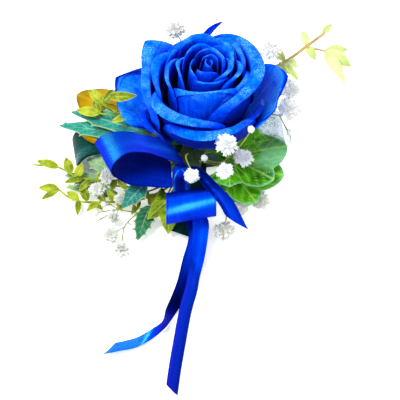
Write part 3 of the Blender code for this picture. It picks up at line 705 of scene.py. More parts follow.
@dataclass
class Palette:
    """Every finish of the corsage, built once."""

    def __post_init__(self) -> None:
        """Builds the finishes."""
        self.petal = PetalFinish("rose_petal_dyed_and_shaded").build()
        self.blue = SatinFinish(
            "blue_satin_ribbon", (0, 0.003, 0.06), (0, 0.016, 0.34), (0, 0.056, 0.82), (0, 0.16, 1),
            (0.05, 0.46, 1)).build()
        # A darker blue satin for the loops' inner side: painted shade inside the loops
        self.blue_in_shade = SatinFinish(
            "blue_satin_painted_shade", (0, 0.001, 0.02), (0, 0.002, 0.08), (0, 0.006, 0.2),
            (0, 0.02, 0.42), (0, 0.05, 0.7), 0.25).build()
        # The green satin's pale gleam is a painted highlight on the band's turn
        self.green = SatinFinish(
            "green_satin_ribbon", (0, 0.008, 0.008), (0.001, 0.022, 0.02), (0.004, 0.06, 0.05),
            (0.04, 0.17, 0.17), (0.66, 0.75, 0.84), 0.3).build()
        self.lining = SatinFinish(
            "wristband_lining", (0.006, 0.04, 0.03), (0.03, 0.1, 0.08), (0.68, 0.76, 0.82),
            (0.78, 0.84, 0.88), (0.9, 0.92, 0.94), 0.05, 0.5).build()
        self.teal = LeafFinish(
            "teal_leaf_blade", (0, 0.13, 0.1), (0.002, 0.3, 0.22), (0.3, 0.62, 0.5),
            (0.62, 0.72, 0.3), silver=0.9, blotch=150).build()
        self.gold = LeafFinish(
            "golden_leaf_blade", (0.45, 0.27, 0), (0.28, 0.15, 0), (0.66, 0.48, 0.02),
            (0.16, 0.11, 0), 0.5, 0.3, 0.9).build()
        self.pale = LeafFinish(
            "pale_leaf_blade", (0.12, 0.32, 0.16), (0.28, 0.45, 0.2), (0.6, 0.72, 0.45),
            (0.6, 0.68, 0.35), silver=0.45).build()
        self.green_leaf = LeafFinish(
            "green_leaf_blade", (0, 0.055, 0.028), (0.02, 0.2, 0.09), (0.3, 0.5, 0.25),
            (0.4, 0.55, 0.2), silver=0.35).build()
        self.ivy = LeafFinish(
            "ivy_leaf_blade", (0.004, 0.1, 0), (0.1, 0.47, 0.004), (0.42, 0.72, 0.14),
            (0.2, 0.56, 0.3), 0.4, 0.6, 0.75, 0, 190).build()
        self.sprig = LeafFinish(
            "light_sprig_leaf", (0.4, 0.46, 0.02), (0.09, 0.16, 0), (0.62, 0.68, 0.16),
            (0.5, 0.58, 0.12), 0.4, 0.5, 0.6, blotch=260).build()
        self.pale_sprig = LeafFinish(
            "pale_sprig_leaf", (0.38, 0.5, 0.1), (0.6, 0.68, 0.32), (0.7, 0.76, 0.45),
            (0.5, 0.58, 0.15), 0.45, 0.5, 0.5).build()
        # Lit and shaded copies of the white: painted light and shade, with a glow that adds painted
        # light
        self.whites = {
            shade: GrainFinish(f"breath_{shade.value}", light, dark, 0.85, glow=glow).build()
            for shade, light, dark, glow in (
                (Shade.BRIGHT, (0.74, 0.77, 0.79), (0.56, 0.61, 0.65), 0.13),
                (Shade.SOFT, (0.78, 0.79, 0.76), (0.62, 0.65, 0.62), 0.12),
                (Shade.DIM, (0.72, 0.74, 0.69), (0.54, 0.57, 0.51), 0.06))
        }
        self.yellow_ivy = LeafFinish(
            "bottom_ivy_blade", (0.004, 0.04, 0.004), (0.22, 0.34, 0.01), (0.5, 0.6, 0.08),
            (0.4, 0.5, 0.05), 0.36, 0.4, 0.5, 0.15, 300).build()
        self.stem = GrainFinish(
            "babys_breath_stem", (0.34, 0.38, 0.06), (0.16, 0.22, 0.03), 0.55).build()
        self.twig = GrainFinish("brown_twig", (0.5, 0.36, 0.12), (0.24, 0.15, 0.03), 0.6).build()
        self.tape = GrainFinish(
            "stem_tape", (0.012, 0.06, 0.012), (0.005, 0.022, 0.006), 0.8, 400, 1500).build()
        self.calyx = GrainFinish(
            "calyx_skin", (0.004, 0.045, 0.03), (0, 0.014, 0.012), 0.55).build()
        self.floor = GrainFinish(
            "pale_floor", (0.8, 0.8, 0.8), (0.78, 0.78, 0.78), 0.9, 2, 40, 0.00002, 0.5).build()


# The rose


@dataclass
class Petal:
    """One rose petal in millimetres and degrees, with the roll, waves and darker edge of its rim
    and its painted shade.
    """

    azimuth: float
    spread: float
    belly: float
    rim: float
    height: float
    roll: float = 0.0
    base: float = 39.6
    shift: float = 0.0
    slant: float = 0.0
    point: float = 0.0
    tip_at: float = 0.0
    drop: float = 0.2
    # tone lightens or darkens the whole petal, partly painted light and shade
    tone: float = 0.0
    wave: float = 0.5
    # fade is how deep below the rim the painted shade reaches
    fade: float = 15.0
    flare: float = 0.0
    # darkens the petal's edges
    edge_dark: float = 0.0

    def crest(self) -> float:
        """How far along the petal its rim begins to roll."""
        return CREST if self.roll > 0.0 else 1.0


# From the heart outwards, each row in the order of the petal's fields
PETALS = [Petal(*row) for row in (
    (20, 125, 1.7, 1, 80.4, 0, 62, 3, 1.2, 0, 0, 0.05, 0, 0.1, 9),
    (205, 115, 3, 2.3, 80.7, 0, 62, 3, -0.8, 0, 0, 0.06, -0.03, 0.15, 9),
    (85, 105, 4.6, 4, 81.2, 0, 60, 3, 0.5, 0.2, 0, 0.08, 0, 0.2, 9),
    (-116, 84, 7.4, 6.2, 79.2, 0, 58, 3, 1.6, 0.3, 0.2, 0.1, -0.04, 0.3, 17),
    (62, 92, 7.8, 7.6, 80.8, 0.3, 56, 2.8, -0.6, 0.5, 0.2, 0.1, 0, 0.4, 10),
    (188, 60, 9.4, 8.8, 79.2, 0.3, 54, 2.6, 0.8, 0.4, 0.1, 0.16, 0.06, 0.4, 11),
    (-16, 62, 9.6, 10, 79.2, 0.6, 54, 2.8, -0.8, 0.2, 0, 0.12, 0.08, 0.4, 11),
    (-86, 68, 10.8, 10.4, 77, 0.4, 50, 2.4, 0.8, 0.2, -0.1, 0.12, 0, 0.35, 12),
    (122, 60, 11.2, 12, 79.4, 0.5, 50, 2.2, 0.4, 0.6, 0.1, 0.14, 0.02, 0.5, 11),
    (38, 56, 11.6, 12.8, 79, 0.6, 50, 2.2, -0.6, 0.4, 0, 0.14, 0.04, 0.5, 11),
    (172, 50, 13.4, 13.2, 76.6, 0.7, 46, 1.8, 0.6, 0.4, 0, 0.18, 0.08, 0.5, 13),
    (-12, 52, 13.8, 14.8, 76.6, 0.9, 46, 2, -1.6, 0.3, 0, 0.16, 0.08, 0.5, 13),
    (80, 62, 15.8, 17.4, 78.2, 0.9, 44, 1.4, 0.4, 0.6, 0.3, 0.14, 0.02, 0.6, 12),
    (-97, 70, 17.4, 15.8, 75.4, 0.4, 41, 1.2, 4.4, 0.4, 0.1, 0.18, 0.14, 0.4, 50, 3),
    (176, 46, 17.4, 18, 73.2, 0.9, 41, 1.2, 0, 0.5, 0, 0.2, 0.04, 0.5, 14),
    (-26, 46, 18.4, 18.6, 73, 1.1, 41, 1.2, 0.6, 0.5, 0, 0.22, 0.04, 0.5, 14),
    (44, 56, 19, 20, 74.6, 1.2, 41, 1, -1, 0.6, 0, 0.2, 0.02, 0.6, 14),
    (122, 52, 19.4, 20.2, 71.6, 1.2, 41, 1, 0, 0.8, 0.2, 0.2, 0.02, 0.6, 14),
    (166, 44, 22, 22.4, 69.6, 1.9, 39.9, 0.5, -1.5, 0.6, 0.2, 0.2, 0.05, 0.6, 16),
    (4, 90, 22.8, 23.2, 76.4, 2.6, 39.8, 0.4, 1.4, 0.5, -0.3, 0.2, 0.04, 0.5, 18),
    (104, 46, 22.6, 23.4, 70, 1.6, 39.8, 0, 0, 0.8, 0, 0.2, 0.04, 0.7, 16),
    (-123, 60, 24.4, 25.2, 66.6, 2.7, 39.7, 0, 1, 0.8, -0.6, 0.22, 0.04, 0.6, 18),
    (167, 53, 26, 26.6, 67, 2.8, 39.6, 0, -4.5, 3.8, -0.5, 0.2, 0.06, 0.8, 26),
    (-86, 56, 27.4, 28, 60.6, 2.7, 39.6, 0, 2.2, 0.9, 0.2, 0.24, 0.03, 0.7, 9),
    (58, 54, 26.2, 27, 65, 2.2, 39.6, 0, 0, 1.2, 0, 0.2, 0, 0.8, 18),
    (-30, 34, 26.6, 27, 57.4, 1.6, 39.6, 0, 0, 0.6, 0, 0.24, -0.35, 0.6, 16),
    (-156, 26, 26.8, 30, 51.6, 1.4, 39.6, 0, 0, 1, 0, 0.26, -0.3, 0.7, 20),
    (174, 27, 30.5, 42.4, 52.6, 0.6, 39.6, 0, -7, 3, -0.3, 0, 0.26, 0.5, 60, -9, 0.9),
    (-1, 40, 28.8, 37.4, 57, 0.9, 39.6, 0, -0.6, 2.4, 0.4, 0.1, 0.26, 1.9, 60, -1, 0.8),
)]


@dataclass
class Rose:
    """The bloom on its calyx."""

    palette: Palette
    x: float = 12.5
    y: float = -8.5
    wide_from: float = 15.0
    wide_grid: tuple[int, int, float] = (40, 42, 0.5)
    small_grid: tuple[int, int, float] = (30, 26, 0.36)
    inner_wall: float = 0.4
    roll_turn: float = math.radians(150.0)
    heart: Sequence[Point] = ((0, 0, 38.4), (6.5, 0, 39), (8, 0, 50), (5, 0, 64), (0, 0, 70))
    cup: Sequence[Point] = (
        (0, 0, 29.3), (2.2, 0, 29.35), (2.4, 0, 31), (5.2, 0, 33.2), (6.2, 0, 35.6),
        (6.9, 0, 37.9), (0, 0, 38))
    sepals: int = 5
    first_sepal_deg: float = -107.0
    sepal_reach: float = 16.5

    def petal_place(self, petal: Petal) -> Place:
        """The surface of one petal.

        Args:
            petal: its sizes.

        Returns:
            The function that bends a grid to it.
        """
        rise = petal.height - petal.base
        cup = vectors([
            (4.0, 0.0, petal.base),
            (petal.belly * 0.74, 0.0, petal.base + 0.06 * rise),
            (petal.belly, 0.0, petal.base + 0.40 * rise),
            ((petal.belly + petal.rim) / 2.0, 0.0, petal.base + 0.76 * rise),
            (petal.rim, 0.0, petal.height),
        ])
        crest = petal.crest()
        phase = petal.azimuth * 0.7

        def place(across: float, t: float) -> Vector:
            """The petal's surface.

            Args:
                across: share across.
                t: share along.

            Returns:
                The place in millimetres.
            """
            s = centred(across)
            width = 0.5 + 0.5 * math.sin(min(t / 0.62, 1.0) * math.pi / 2.0)
            if t > 0.7:
                width *= 1.0 - 0.22 * ((t - 0.7) / 0.3) ** 2
            reach = 1.0 - petal.drop * abs(s) ** 2.2 - 0.16 * abs(s) ** 10
            spot = along(cup, min(t / crest, 1.0) * reach)
            turn = max(t - crest, 0.0) / (1.0 - CREST) * self.roll_turn
            lip = petal.roll * (1.0 + 0.2 * math.sin(2.9 * s + phase))
            lip *= 1.0 - 0.92 * abs(s) ** 2.6
            radius = spot.x + 1.15 * lip * (1.0 - math.cos(turn))
            z = spot.z + 0.9 * lip * math.sin(turn) + petal.slant * s * t
            tip = petal.point * max(0.0, 1.0 - abs(s - petal.tip_at) * 2.0) ** 1.4 * t**3
            ripple = petal.wave * math.sin(3.1 * s + petal.azimuth) * t
            ripple += 0.2 * petal.wave * math.sin(9.0 * s + phase) * t**3
            radius += s * 0.07 * petal.belly + ripple + 0.8 * tip + petal.flare * s * s * t
            z += petal.wave * math.sin(4.2 * s + phase) * t**4 + tip
            angle = math.radians(petal.azimuth + petal.spread * s * width)
            x = self.x + petal.shift * t + radius * math.cos(angle)
            y = self.y + radius * math.sin(angle)
            return Vector((x, y, z))

        return place

    def bloom(self) -> Item:
        """Builds the petals round the heart.

        Returns:
            The bloom as one piece.
        """
        made = []
        for index, petal in enumerate(PETALS):
            wide = petal.belly > self.wide_from
            columns, rows, wall = self.wide_grid if wide else self.small_grid
            masks = {"rise": self.petal_painted_shade(petal), "tone": even(petal.tone)}
            grid = bent_grid(f"petal_{index}", columns, rows, self.petal_place(petal), masks)
            made.append(thicken(grid, wall))
        # The curled tip and the heart take an even painted shade, the heart deep in shade
        for name, columns, rows, place, rise in (
            ("curled_tip", 6, 20, self.tip_place, 0.75),
            ("heart", 20, 24, self.turned(self.heart), 0.25),
        ):
            masks = {"rise": even(rise), "tone": even(0.0)}
            made.append(thicken(bent_grid(name, columns, rows, place, masks), self.inner_wall))
        return join("rose_petals", [dress(piece, self.palette.petal) for piece in made])

    def petal_painted_shade(self, petal: Petal) -> Value:
        """Painted shade on one petal: full light at its rim, dark low down and at its sides.

        Args:
            petal: its sizes.

        Returns:
            The value from the shares across and along.
        """
        place = self.petal_place(petal)
        crest = petal.crest()

        def rise(across: float, t: float) -> float:
            """How much painted light the petal gets.

            Args:
                across: share across.
                t: share along.

            Returns:
                The lightness, about 0 to 1.
            """
            s = centred(across)
            depth = 0.0 if t > crest else max(place(across, crest).z - place(across, t).z, 0.0)
            edge = max(t - 0.86, abs(s) - 0.9, 0.0) / 0.1
            light = max(0.0, 1.0 - depth / petal.fade) - 0.22 * abs(s) ** 3
            return light - petal.edge_dark * min(edge, 1.0)

        return rise

    def tip_place(self, across: float, t: float) -> Vector:
        """The thin curled petal tip that leans out behind the rose.

        Args:
            across: share across.
            t: share along.

        Returns:
            The place in millimetres.
        """
        route = vectors([(11, 13.5, 72), (14.5, 16, 75.6), (18, 17.8, 78), (21.6, 18.8, 79.8)])
        half = 2.3 * math.sin(math.pi * (0.35 + 0.65 * t))
        s = centred(across)
        spot = along(route, t) + Vector((-0.3, 0.2, 0.8)) * half * s
        return spot + Vector((0.0, -0.5, 0.2)) * half * s * s

    def turned(self, profile: Sequence[Point]) -> Place:
        """A surface turned round the rose's own middle line.

        Args:
            profile: distance from that line and height, at X and Z.

        Returns:
            The function that bends a grid to it.
        """
        line = vectors(profile)

        def place(across: float, t: float) -> Vector:
            """The turned surface.

            Args:
                across: share across.
                t: share along.

            Returns:
                The place in millimetres.
            """
            spot = along(line, t)
            angle = math.tau * across
            x = self.x + spot.x * math.cos(angle)
            return Vector((x, self.y + spot.x * math.sin(angle), spot.z))

        return place

    def sepal_place(self, angle_deg: float) -> Place:
        """The surface of one sepal.

        Args:
            angle_deg: the way that it points.

        Returns:
            The function that bends a grid to it.
        """
        angle = math.radians(angle_deg)
        out = Vector((math.cos(angle), math.sin(angle), 0.0))
        side = Vector((-out.y, out.x, 0.0))
        root = Vector((self.x, self.y, 36.6)) + out * 3.5

        def place(across: float, t: float) -> Vector:
            """The sepal's surface.

            Args:
                across: share across.
                t: share along.

            Returns:
                The place in millimetres.
            """
            half = 2.9 * max(1.0 - t, 0.0) ** 0.7 * (0.75 + 0.6 * t)
            s = centred(across)
            drop = -2.6 * math.sin(t * 2.2)
            frill = 0.25 * math.sin(26.0 * t) * abs(s) ** 2
            spot = root + out * self.sepal_reach * t + side * (half * s + frill)
            return spot + Vector((0, 0, drop + 0.5 * abs(s)))

        return place

    def calyx(self) -> Item:
        """Builds the green cup with its stub and sepals.

        Returns:
            The calyx as one piece.
        """
        blank = {"vein": even(0.0), "margin": even(0.0), "tone": even(0.0)}
        made = [thicken(bent_grid("cup", 28, 36, self.turned(self.cup), blank), 0.2)]
        for i in range(self.sepals):
            place = self.sepal_place(self.first_sepal_deg + 360.0 / self.sepals * i)
            made.append(thicken(bent_grid(f"sepal_{i}", 8, 24, place, blank), 0.5))
        return join("rose_sepals", [dress(piece, self.palette.calyx) for piece in made])

    def build(self) -> None:
        """Builds and seats the bloom and its calyx."""
        seat(self.bloom(), "rose_bloom")
        seat(self.calyx(), "rose_calyx")


# Ribbons


@dataclass
class Ribbon:
    """A length of ribbon along middle points, with its half width as a side vector at each."""

    name: str
    node: str
    middle: Sequence[Point]
    sides: Sequence[Point]
    held: Held
    flat: tuple[float, float]
    slot: str = "blue_satin"
    wall: float = 0.35
    rows: int = 120
    columns: int = 14
    crown: float = 0.0
    cut: float = 0.0
    ripple: float = 0.0
    rests_on: tuple = ()
    carries: Sequence[Item] = ()
    # tone is painted light and shade along the ribbon, which the satin reads
    tone: Value = even(0.0)

    def place(self, across: float, t: float) -> Vector:
        """The ribbon's surface.

        Args:
            across: share across.
            t: share along.

        Returns:
            The place in millimetres.
        """
        middle = vectors(self.middle)
        sides = vectors(self.sides)
        centre = along(middle, t)
        side = along(sides, t)
        ahead = along(middle, min(t + 0.01, 1.0)) - along(middle, max(t - 0.01, 0.0))
        ahead.normalize()
        up = side.cross(ahead).normalized()
        s = centred(across)
        slant = self.cut * s * t**6
        lift = self.crown * (1.0 - s * s)
        lift += self.ripple * math.sin(7.0 * t + 2.0 * s) * math.sin(math.pi * t)
        return centre + side * s + up * lift + ahead * slant

    def build(self, *finishes: Finish) -> Item:
        """Args:
            finishes: its satin, or the satin of each side.

        Returns:
            The piece.
        """
        grid = bent_grid(self.name, self.columns, self.rows, self.place, {"tone": self.tone})
        piece = seat(thicken(dress(grid, *finishes), self.wall), self.node)
        return piece


@dataclass
class Bow:
    """The blue satin bow: loops, knot and tails."""

    palette: Palette
    wide: float = 25.0
    narrow: float = 8.0
    long_flat: tuple[float, float] = (0.008, 0.12)
    knot_centre: Point = (1.2, -38.9, 28.2)
    knot_half: Point = (3.9, 4.4, 8.6)
    front_centre: Point = (6.2, -52.4, 24.4)
    front_side: Point = (0.95, 0.13, 0.1)
    front_depth: float = 7.4
    front_rise: float = 8.2
    front_steps: int = 12
    front_open_deg: float = 165.0

    def loop_left(self) -> Ribbon:
        """The wide loop that opens to the front.

        Returns:
            The ribbon, not yet built.
        """
        middle = [
            (2.8, -36.9, 37.8), (-1.5, -32.4, 39), (-7, -29.3, 39.3), (-13, -27.4, 39.2),
            (-20.5, -24.1, 38.5), (-29.5, -23.7, 37.6), (-35.6, -24.7, 33.3), (-37.6, -25.1, 27.6),
            (-34.5, -22.4, 23.2), (-28, -23.2, 22.6), (-19, -24.2, 22.8), (-11, -28.7, 24.2),
            (-3.5, -34.4, 25.8)]
        sides = [
            (0.8, -2.2, 0.2), (2.5, -7.6, 1.9), (3.8, -10.2, 3), (4.4, -10.8, 4.4),
            (4.4, -10.8, 4.4), (4.4, -10.8, 4.4), (4.4, -11.1, 3.6), (4.4, -11.4, 2.4),
            (4.4, -12.8, 0.4), (4.2, -13.9, -1.5), (4, -14, -1.7), (2.4, -11.7, -1.3),
            (0.5, -7.8, -0.4)]

        def tone(across: float, t: float) -> float:
            """Sheen over the turn and shade at the knot.

            Args:
                across: share across.
                t: share along.

            Returns:
                The tone, 0 for plain satin.
            """
            sheen = 0.85 * hump(t, 0.455 + 0.03 * across, 0.04)
            sheen += 0.35 * hump(across, 0.35 + 0.5 * t, 0.16) * hump(t, 0.2, 0.16)
            sheen = 0.22 + sheen - 0.8 * hump(t, 0.0, 0.07) - 0.3 * hump(t, 0.52, 0.05)
            return sheen + 0.8 * max(t - 0.62, 0.0) * across

        return Ribbon(
            "bow_loop_wide", "bow_loop_left", middle, sides, Held.FOLDED, (0.025, 0.089),
            crown=0.3, ripple=0.3, rows=160, columns=24, tone=tone)

    def loop_lower(self) -> Ribbon:
        """The small rolled loop in front.

        Returns:
            The ribbon, not yet built.
        """
        side = Vector(self.front_side).normalized() * self.wide / 2.0
        middle = []
        for i in range(self.front_steps + 1):
            turned = 2.0 * self.front_open_deg * i / self.front_steps
            angle = math.radians(self.front_open_deg - turned)
            spoke = (0.0, -self.front_depth * math.cos(angle), self.front_rise * math.sin(angle))
            middle.append(Vector(self.front_centre) + Vector(spoke))

        def tone(across: float, t: float) -> float:
            """A painted highlight along the turn, with painted shade near the knot."""
            band = 1.1 * hump(t, 0.40 - 0.04 * across, 0.05)
            return band * (0.65 + 0.35 * hump(across, 0.35, 0.4)) - 0.1 - 0.5 * hump(t, 0.1, 0.1)

        return Ribbon(
            "bow_loop_front", "bow_loop_lower", middle, [side] * len(middle), Held.FOLDED,
            (0.025, 0.045), crown=0.25, ripple=0.1, rows=90, columns=20, tone=tone)

    def tail_right(self) -> Ribbon:
        """The short tail with the slanting cut.

        Returns:
            The ribbon, not yet built.
        """
        middle = [
            (3.8, -39.1, 36.2), (7, -42, 38.8), (10.8, -46.8, 40.4), (15.4, -51.4, 38.8),
            (23.2, -55, 29.4), (28.4, -59.4, 19.6)]
        sides = [
            (0.9, 0.8, 0.3), (1.9, 1.4, 0.8), (2.1, 1.5, 0.9), (2.2, 1.5, 0.5), (3.1, 2.1, -0.5),
            (3.4, 2.6, -1.4)]

        def tone(across: float, t: float) -> float:
            """Painted shade that lifts towards the cut end, with a painted line of light along it.
            """
            tone = -0.95 + 0.65 * min(t / 0.66, 1.0) ** 3 + 0.45 * hump(across, 0.45, 0.1) * t
            return tone - 0.35 * hump(t, 0.62, 0.05)

        return Ribbon(
            "bow_tail_short", "bow_tail_right", middle, sides, Held.HUNG, (0.01, 0.043),
            cut=6.0, crown=1.9, rows=70, tone=tone)

    def tail_long(self) -> Ribbon:
        """The long tail that runs straight out along the surface.

        Returns:
            The ribbon, not yet built.
        """
        half = self.narrow / 2.0
        middle = [
            (1.4, -39.4, 18.9), (6, -46.5, 16.2), (10.6, -54, 13.8), (10.4, -62, 9.6),
            (9, -71, 6.4), (7.6, -80, 4.2), (6.2, -89, 3.4), (3.4, -102, 3.2), (0.8, -120, 3.2),
            (-1.6, -138, 3.2), (-3, -151, 3.2)]
        flat = (half, 0.5, 0.0)
        rolled = (half * 0.7, 0.5, -half * 0.7)
        turning = (half * 0.95, 0.5, -half * 0.3)
        sides = [(2.6, 0.4, 0), (3.4, 0.4, 0), flat, flat, turning] + [rolled] * 6

        def tone(across: float, t: float) -> float:
            """A faint painted line of light that fades away, over painted shade that deepens at the
            knot and towards the end.
            """
            shade = -0.05 - 0.45 * max(t - 0.3, 0.0) - 0.5 * hump(t, 0.0, 0.14)
            return shade + 0.35 * hump(across, 0.6, 0.12) * (1.0 - t)

        return Ribbon(
            "ribbon_tail_straight", "ribbon_tail_long", middle, sides, Held.HUNG,
            self.long_flat, cut=1.6, crown=0.3, rows=150, tone=tone)

    def tail_curved(self) -> Ribbon:
        """The second long tail, which turns over once.

        Returns:
            The ribbon, not yet built.
        """
        half = self.narrow / 2.0
        middle = [
            (0.8, -39, 17.9), (4.4, -46.5, 13.4), (8.4, -55, 9.6), (8.6, -61, 7.2), (6, -70, 4),
            (3.2, -82, 1.8), (0, -93, 2.2), (-3.8, -103, 3.7), (-7.4, -112.5, 4.7),
            (-14, -118, 3.6), (-20.5, -120.8, 1.7), (-27, -122.9, 1.7), (-33.4, -124.6, 1.7)]
        flat = (half, 0.0, 0.0)
        lifted = (-0.6, -3.8, 1.2)
        sides = [
            (2.4, 0, 0), (3.2, 0, 0), flat, flat, flat, (half * 0.95, 0.4, -0.6), (3.6, 0.8, -1.4),
            (2.2, 0.8, -3.1), (0.2, 0.6, -half), (-1.8, -2.8, -2.2), (-1.2, -3.8, 0.4), lifted,
            lifted]

        def tone(across: float, t: float) -> float:
            """Painted shade at the knot and the turn and painted light past it, with a painted line
            of light before the turn.

            Args:
                across: share across.
                t: share along.

            Returns:
                The tone, 0 for plain satin.
            """
            shade = -0.15 - 0.5 * hump(t, 0.0, 0.14) - 0.75 * hump(t, 0.52, 0.12)
            return (shade + 0.9 * min(max((t - 0.70) / 0.08, 0.0), 1.0)
                    + 0.3 * hump(across, 0.3, 0.15) * hump(t, 0.3, 0.1))

        return Ribbon(
            "ribbon_tail_turned", "ribbon_tail_curved", middle, sides, Held.HUNG,
            self.long_flat, cut=2.2, crown=0.2, rows=170, tone=tone)

    def knot(self) -> Item:
        """Builds the gathered middle with its two upright folds.

        Returns:
            The knot.
        """
        centre, half = self.knot_centre, self.knot_half

        def place(across: float, t: float) -> Vector:
            """The gathered middle's surface.

            Args:
                across: share across.
                t: share along.

            Returns:
                The place in millimetres.
            """
            angle = math.tau * across
            z = (t - 0.5) * 2.0
            shrink = max(1.0 - abs(z) ** 5, 0.0) ** 0.5
            fold = 1.0 + 0.10 * math.cos(6.0 * angle + 0.6) + 0.03 * math.cos(11.0 * angle)
            wide, deep = math.cos(angle), math.sin(angle)
            x = centre[0] + half[0] * fold * shrink * math.copysign(abs(wide) ** 0.5, wide)
            y = centre[1] + half[1] * fold * shrink * math.copysign(abs(deep) ** 0.5, deep)
            return Vector((x, y, centre[2] + half[2] * z))

        def tone(across: float, t: float) -> float:
            """Light on the folds and shade between them."""
            wide = 0.5 * math.cos(6.0 * math.tau * across + 0.6)
            return wide + 0.25 * math.cos(11.0 * math.tau * across)

        grid = bent_grid("bow_gathers", 72, 40, place, {"tone": tone})
        dress(grid, self.palette.blue)
        piece = seat(thicken(grid, 0.3), "bow_knot")
        return piece

    def build(self) -> None:
        """Builds every part of the bow."""
        self.knot()
        # The loops' inner side takes the darker satin: painted shade inside the loops
        blue, blue_in_shade = self.palette.blue, self.palette.blue_in_shade
        self.loop_left().build(blue_in_shade, blue)
        self.tail_right().build(blue)
        front = self.loop_lower()
        front.carries = [self.tail_long().build(blue), self.tail_curved().build(blue)]
        front.build(blue_in_shade, blue)


@dataclass
class Wristband:
    """The green satin band that goes round the wrist, with its loose cut end."""

    palette: Palette
    half_length: float = 53.0
    height: float = 20.0
    width: float = 19.0
    wall: float = 1.1
    turn_deg: float = 8.0
    inset: float = 1.2
    grid: tuple[int, int] = (12, 200)

    def place(self, across: float, t: float) -> Vector:
        """The band's middle surface, an oval that lies on its long side.

        Args:
            across: share across.
            t: share along.

        Returns:
            The place in millimetres.
        """
        radius = (self.height - self.inset) / 2.0
        straight = 2.0 * (self.half_length - self.height / 2.0)
        turn = math.pi * radius
        run = t * 2.0 * (straight + turn)
        if run < straight:
            x, z = run - straight / 2.0, -radius
        elif run < straight + turn:
            angle = (run - straight) / radius - math.pi / 2.0
            x, z = straight / 2.0 + radius * math.cos(angle), radius * math.sin(angle)
        elif run < 2.0 * straight + turn:
            x, z = straight / 2.0 - (run - straight - turn), radius
        else:
            angle = (run - 2.0 * straight - turn) / radius + math.pi / 2.0
            x, z = -straight / 2.0 + radius * math.cos(angle), radius * math.sin(angle)
        y = (across - 0.5) * self.width
        spot = Vector((x, y, z + self.height / 2.0))
        return Matrix.Rotation(math.radians(self.turn_deg), 3, "Z") @ spot

    def band(self) -> Item:
        """Builds the band, green outside and pale inside.

        Returns:
            The band.
        """

        def tone(across: float, t: float) -> float:
            """Painted light and shade: soft folds, a painted highlight on the right turn, a painted
            glint on the left turn and painted shade along the bottom run.

            Args:
                across: share across.
                t: share along.

            Returns:
                The tone, 0 for plain satin.
            """
            fold = hump(across, 0.3 + 0.1 * math.sin(11.0 * t), 0.08)
            fold -= 0.8 * hump(across, 0.62 + 0.1 * math.sin(7.0 * t), 0.1)
            inside = -1.2 * math.exp(-((t - 0.19) / 0.15) ** 4)
            glint = 0.5 * hump(t, 0.93, 0.04) * hump(across, 0.2, 0.2)
            return 0.6 * fold * (1.0 - t) + glint + 1.2 * hump(t, 0.45, 0.09) + inside

        grid = bent_grid("wristband_satin", *self.grid, self.place, {"tone": tone})
        return thicken(dress(grid, self.palette.green, self.palette.lining), self.wall)

    def build(self) -> None:
        """Builds and seats the band and its tie end."""
        band = seat(self.band(), "wristband")
        middle = [
            (6, 5, 18.1), (6, -12, 17.6), (5.5, -25, 13.5), (4.5, -38, 7.5), (3.5, -47, 4.2),
            (2.5, -54, 2.8)]
        tie = Ribbon(
            "wristband_tie", "wristband_tie_end", middle, [(8, 0, 0)] * 6, Held.HUNG,
            (0.016, 0.063), "green_satin", cut=3, rows=70)
        tie.build(self.palette.green)


# Leaves


def facing(base: Point, tip: Point, up: Point) -> tuple[Vector, Vector, Vector, float]:
    """The directions of a leaf's blade.

    Args:
        base: where the blade begins.
        tip: where it ends.
        up: the way that its face looks.

    Returns:
        The ways along it, across it and out of its face, and its length.
    """
    reach = Vector(tip) - Vector(base)
    ahead = reach.normalized()
    side = ahead.cross(Vector(up)).normalized()
    return ahead, side, side.cross(ahead).normalized(), reach.length


class Stalked:
    """What leaves of both kinds share: a blade on a stalk of its own."""

    def build(self, blade: Finish, stalk: Finish) -> Item:
        """Builds and seats the leaf.

        Args:
            blade: the blade's finish.
            stalk: the stalk's finish.

        Returns:
            The leaf.
        """
        line = stem(self.name + "_stalk", self.route(), self.radii, stalk)
        return seat(join(self.name, [dress(self.blade(), blade), line]), self.node)


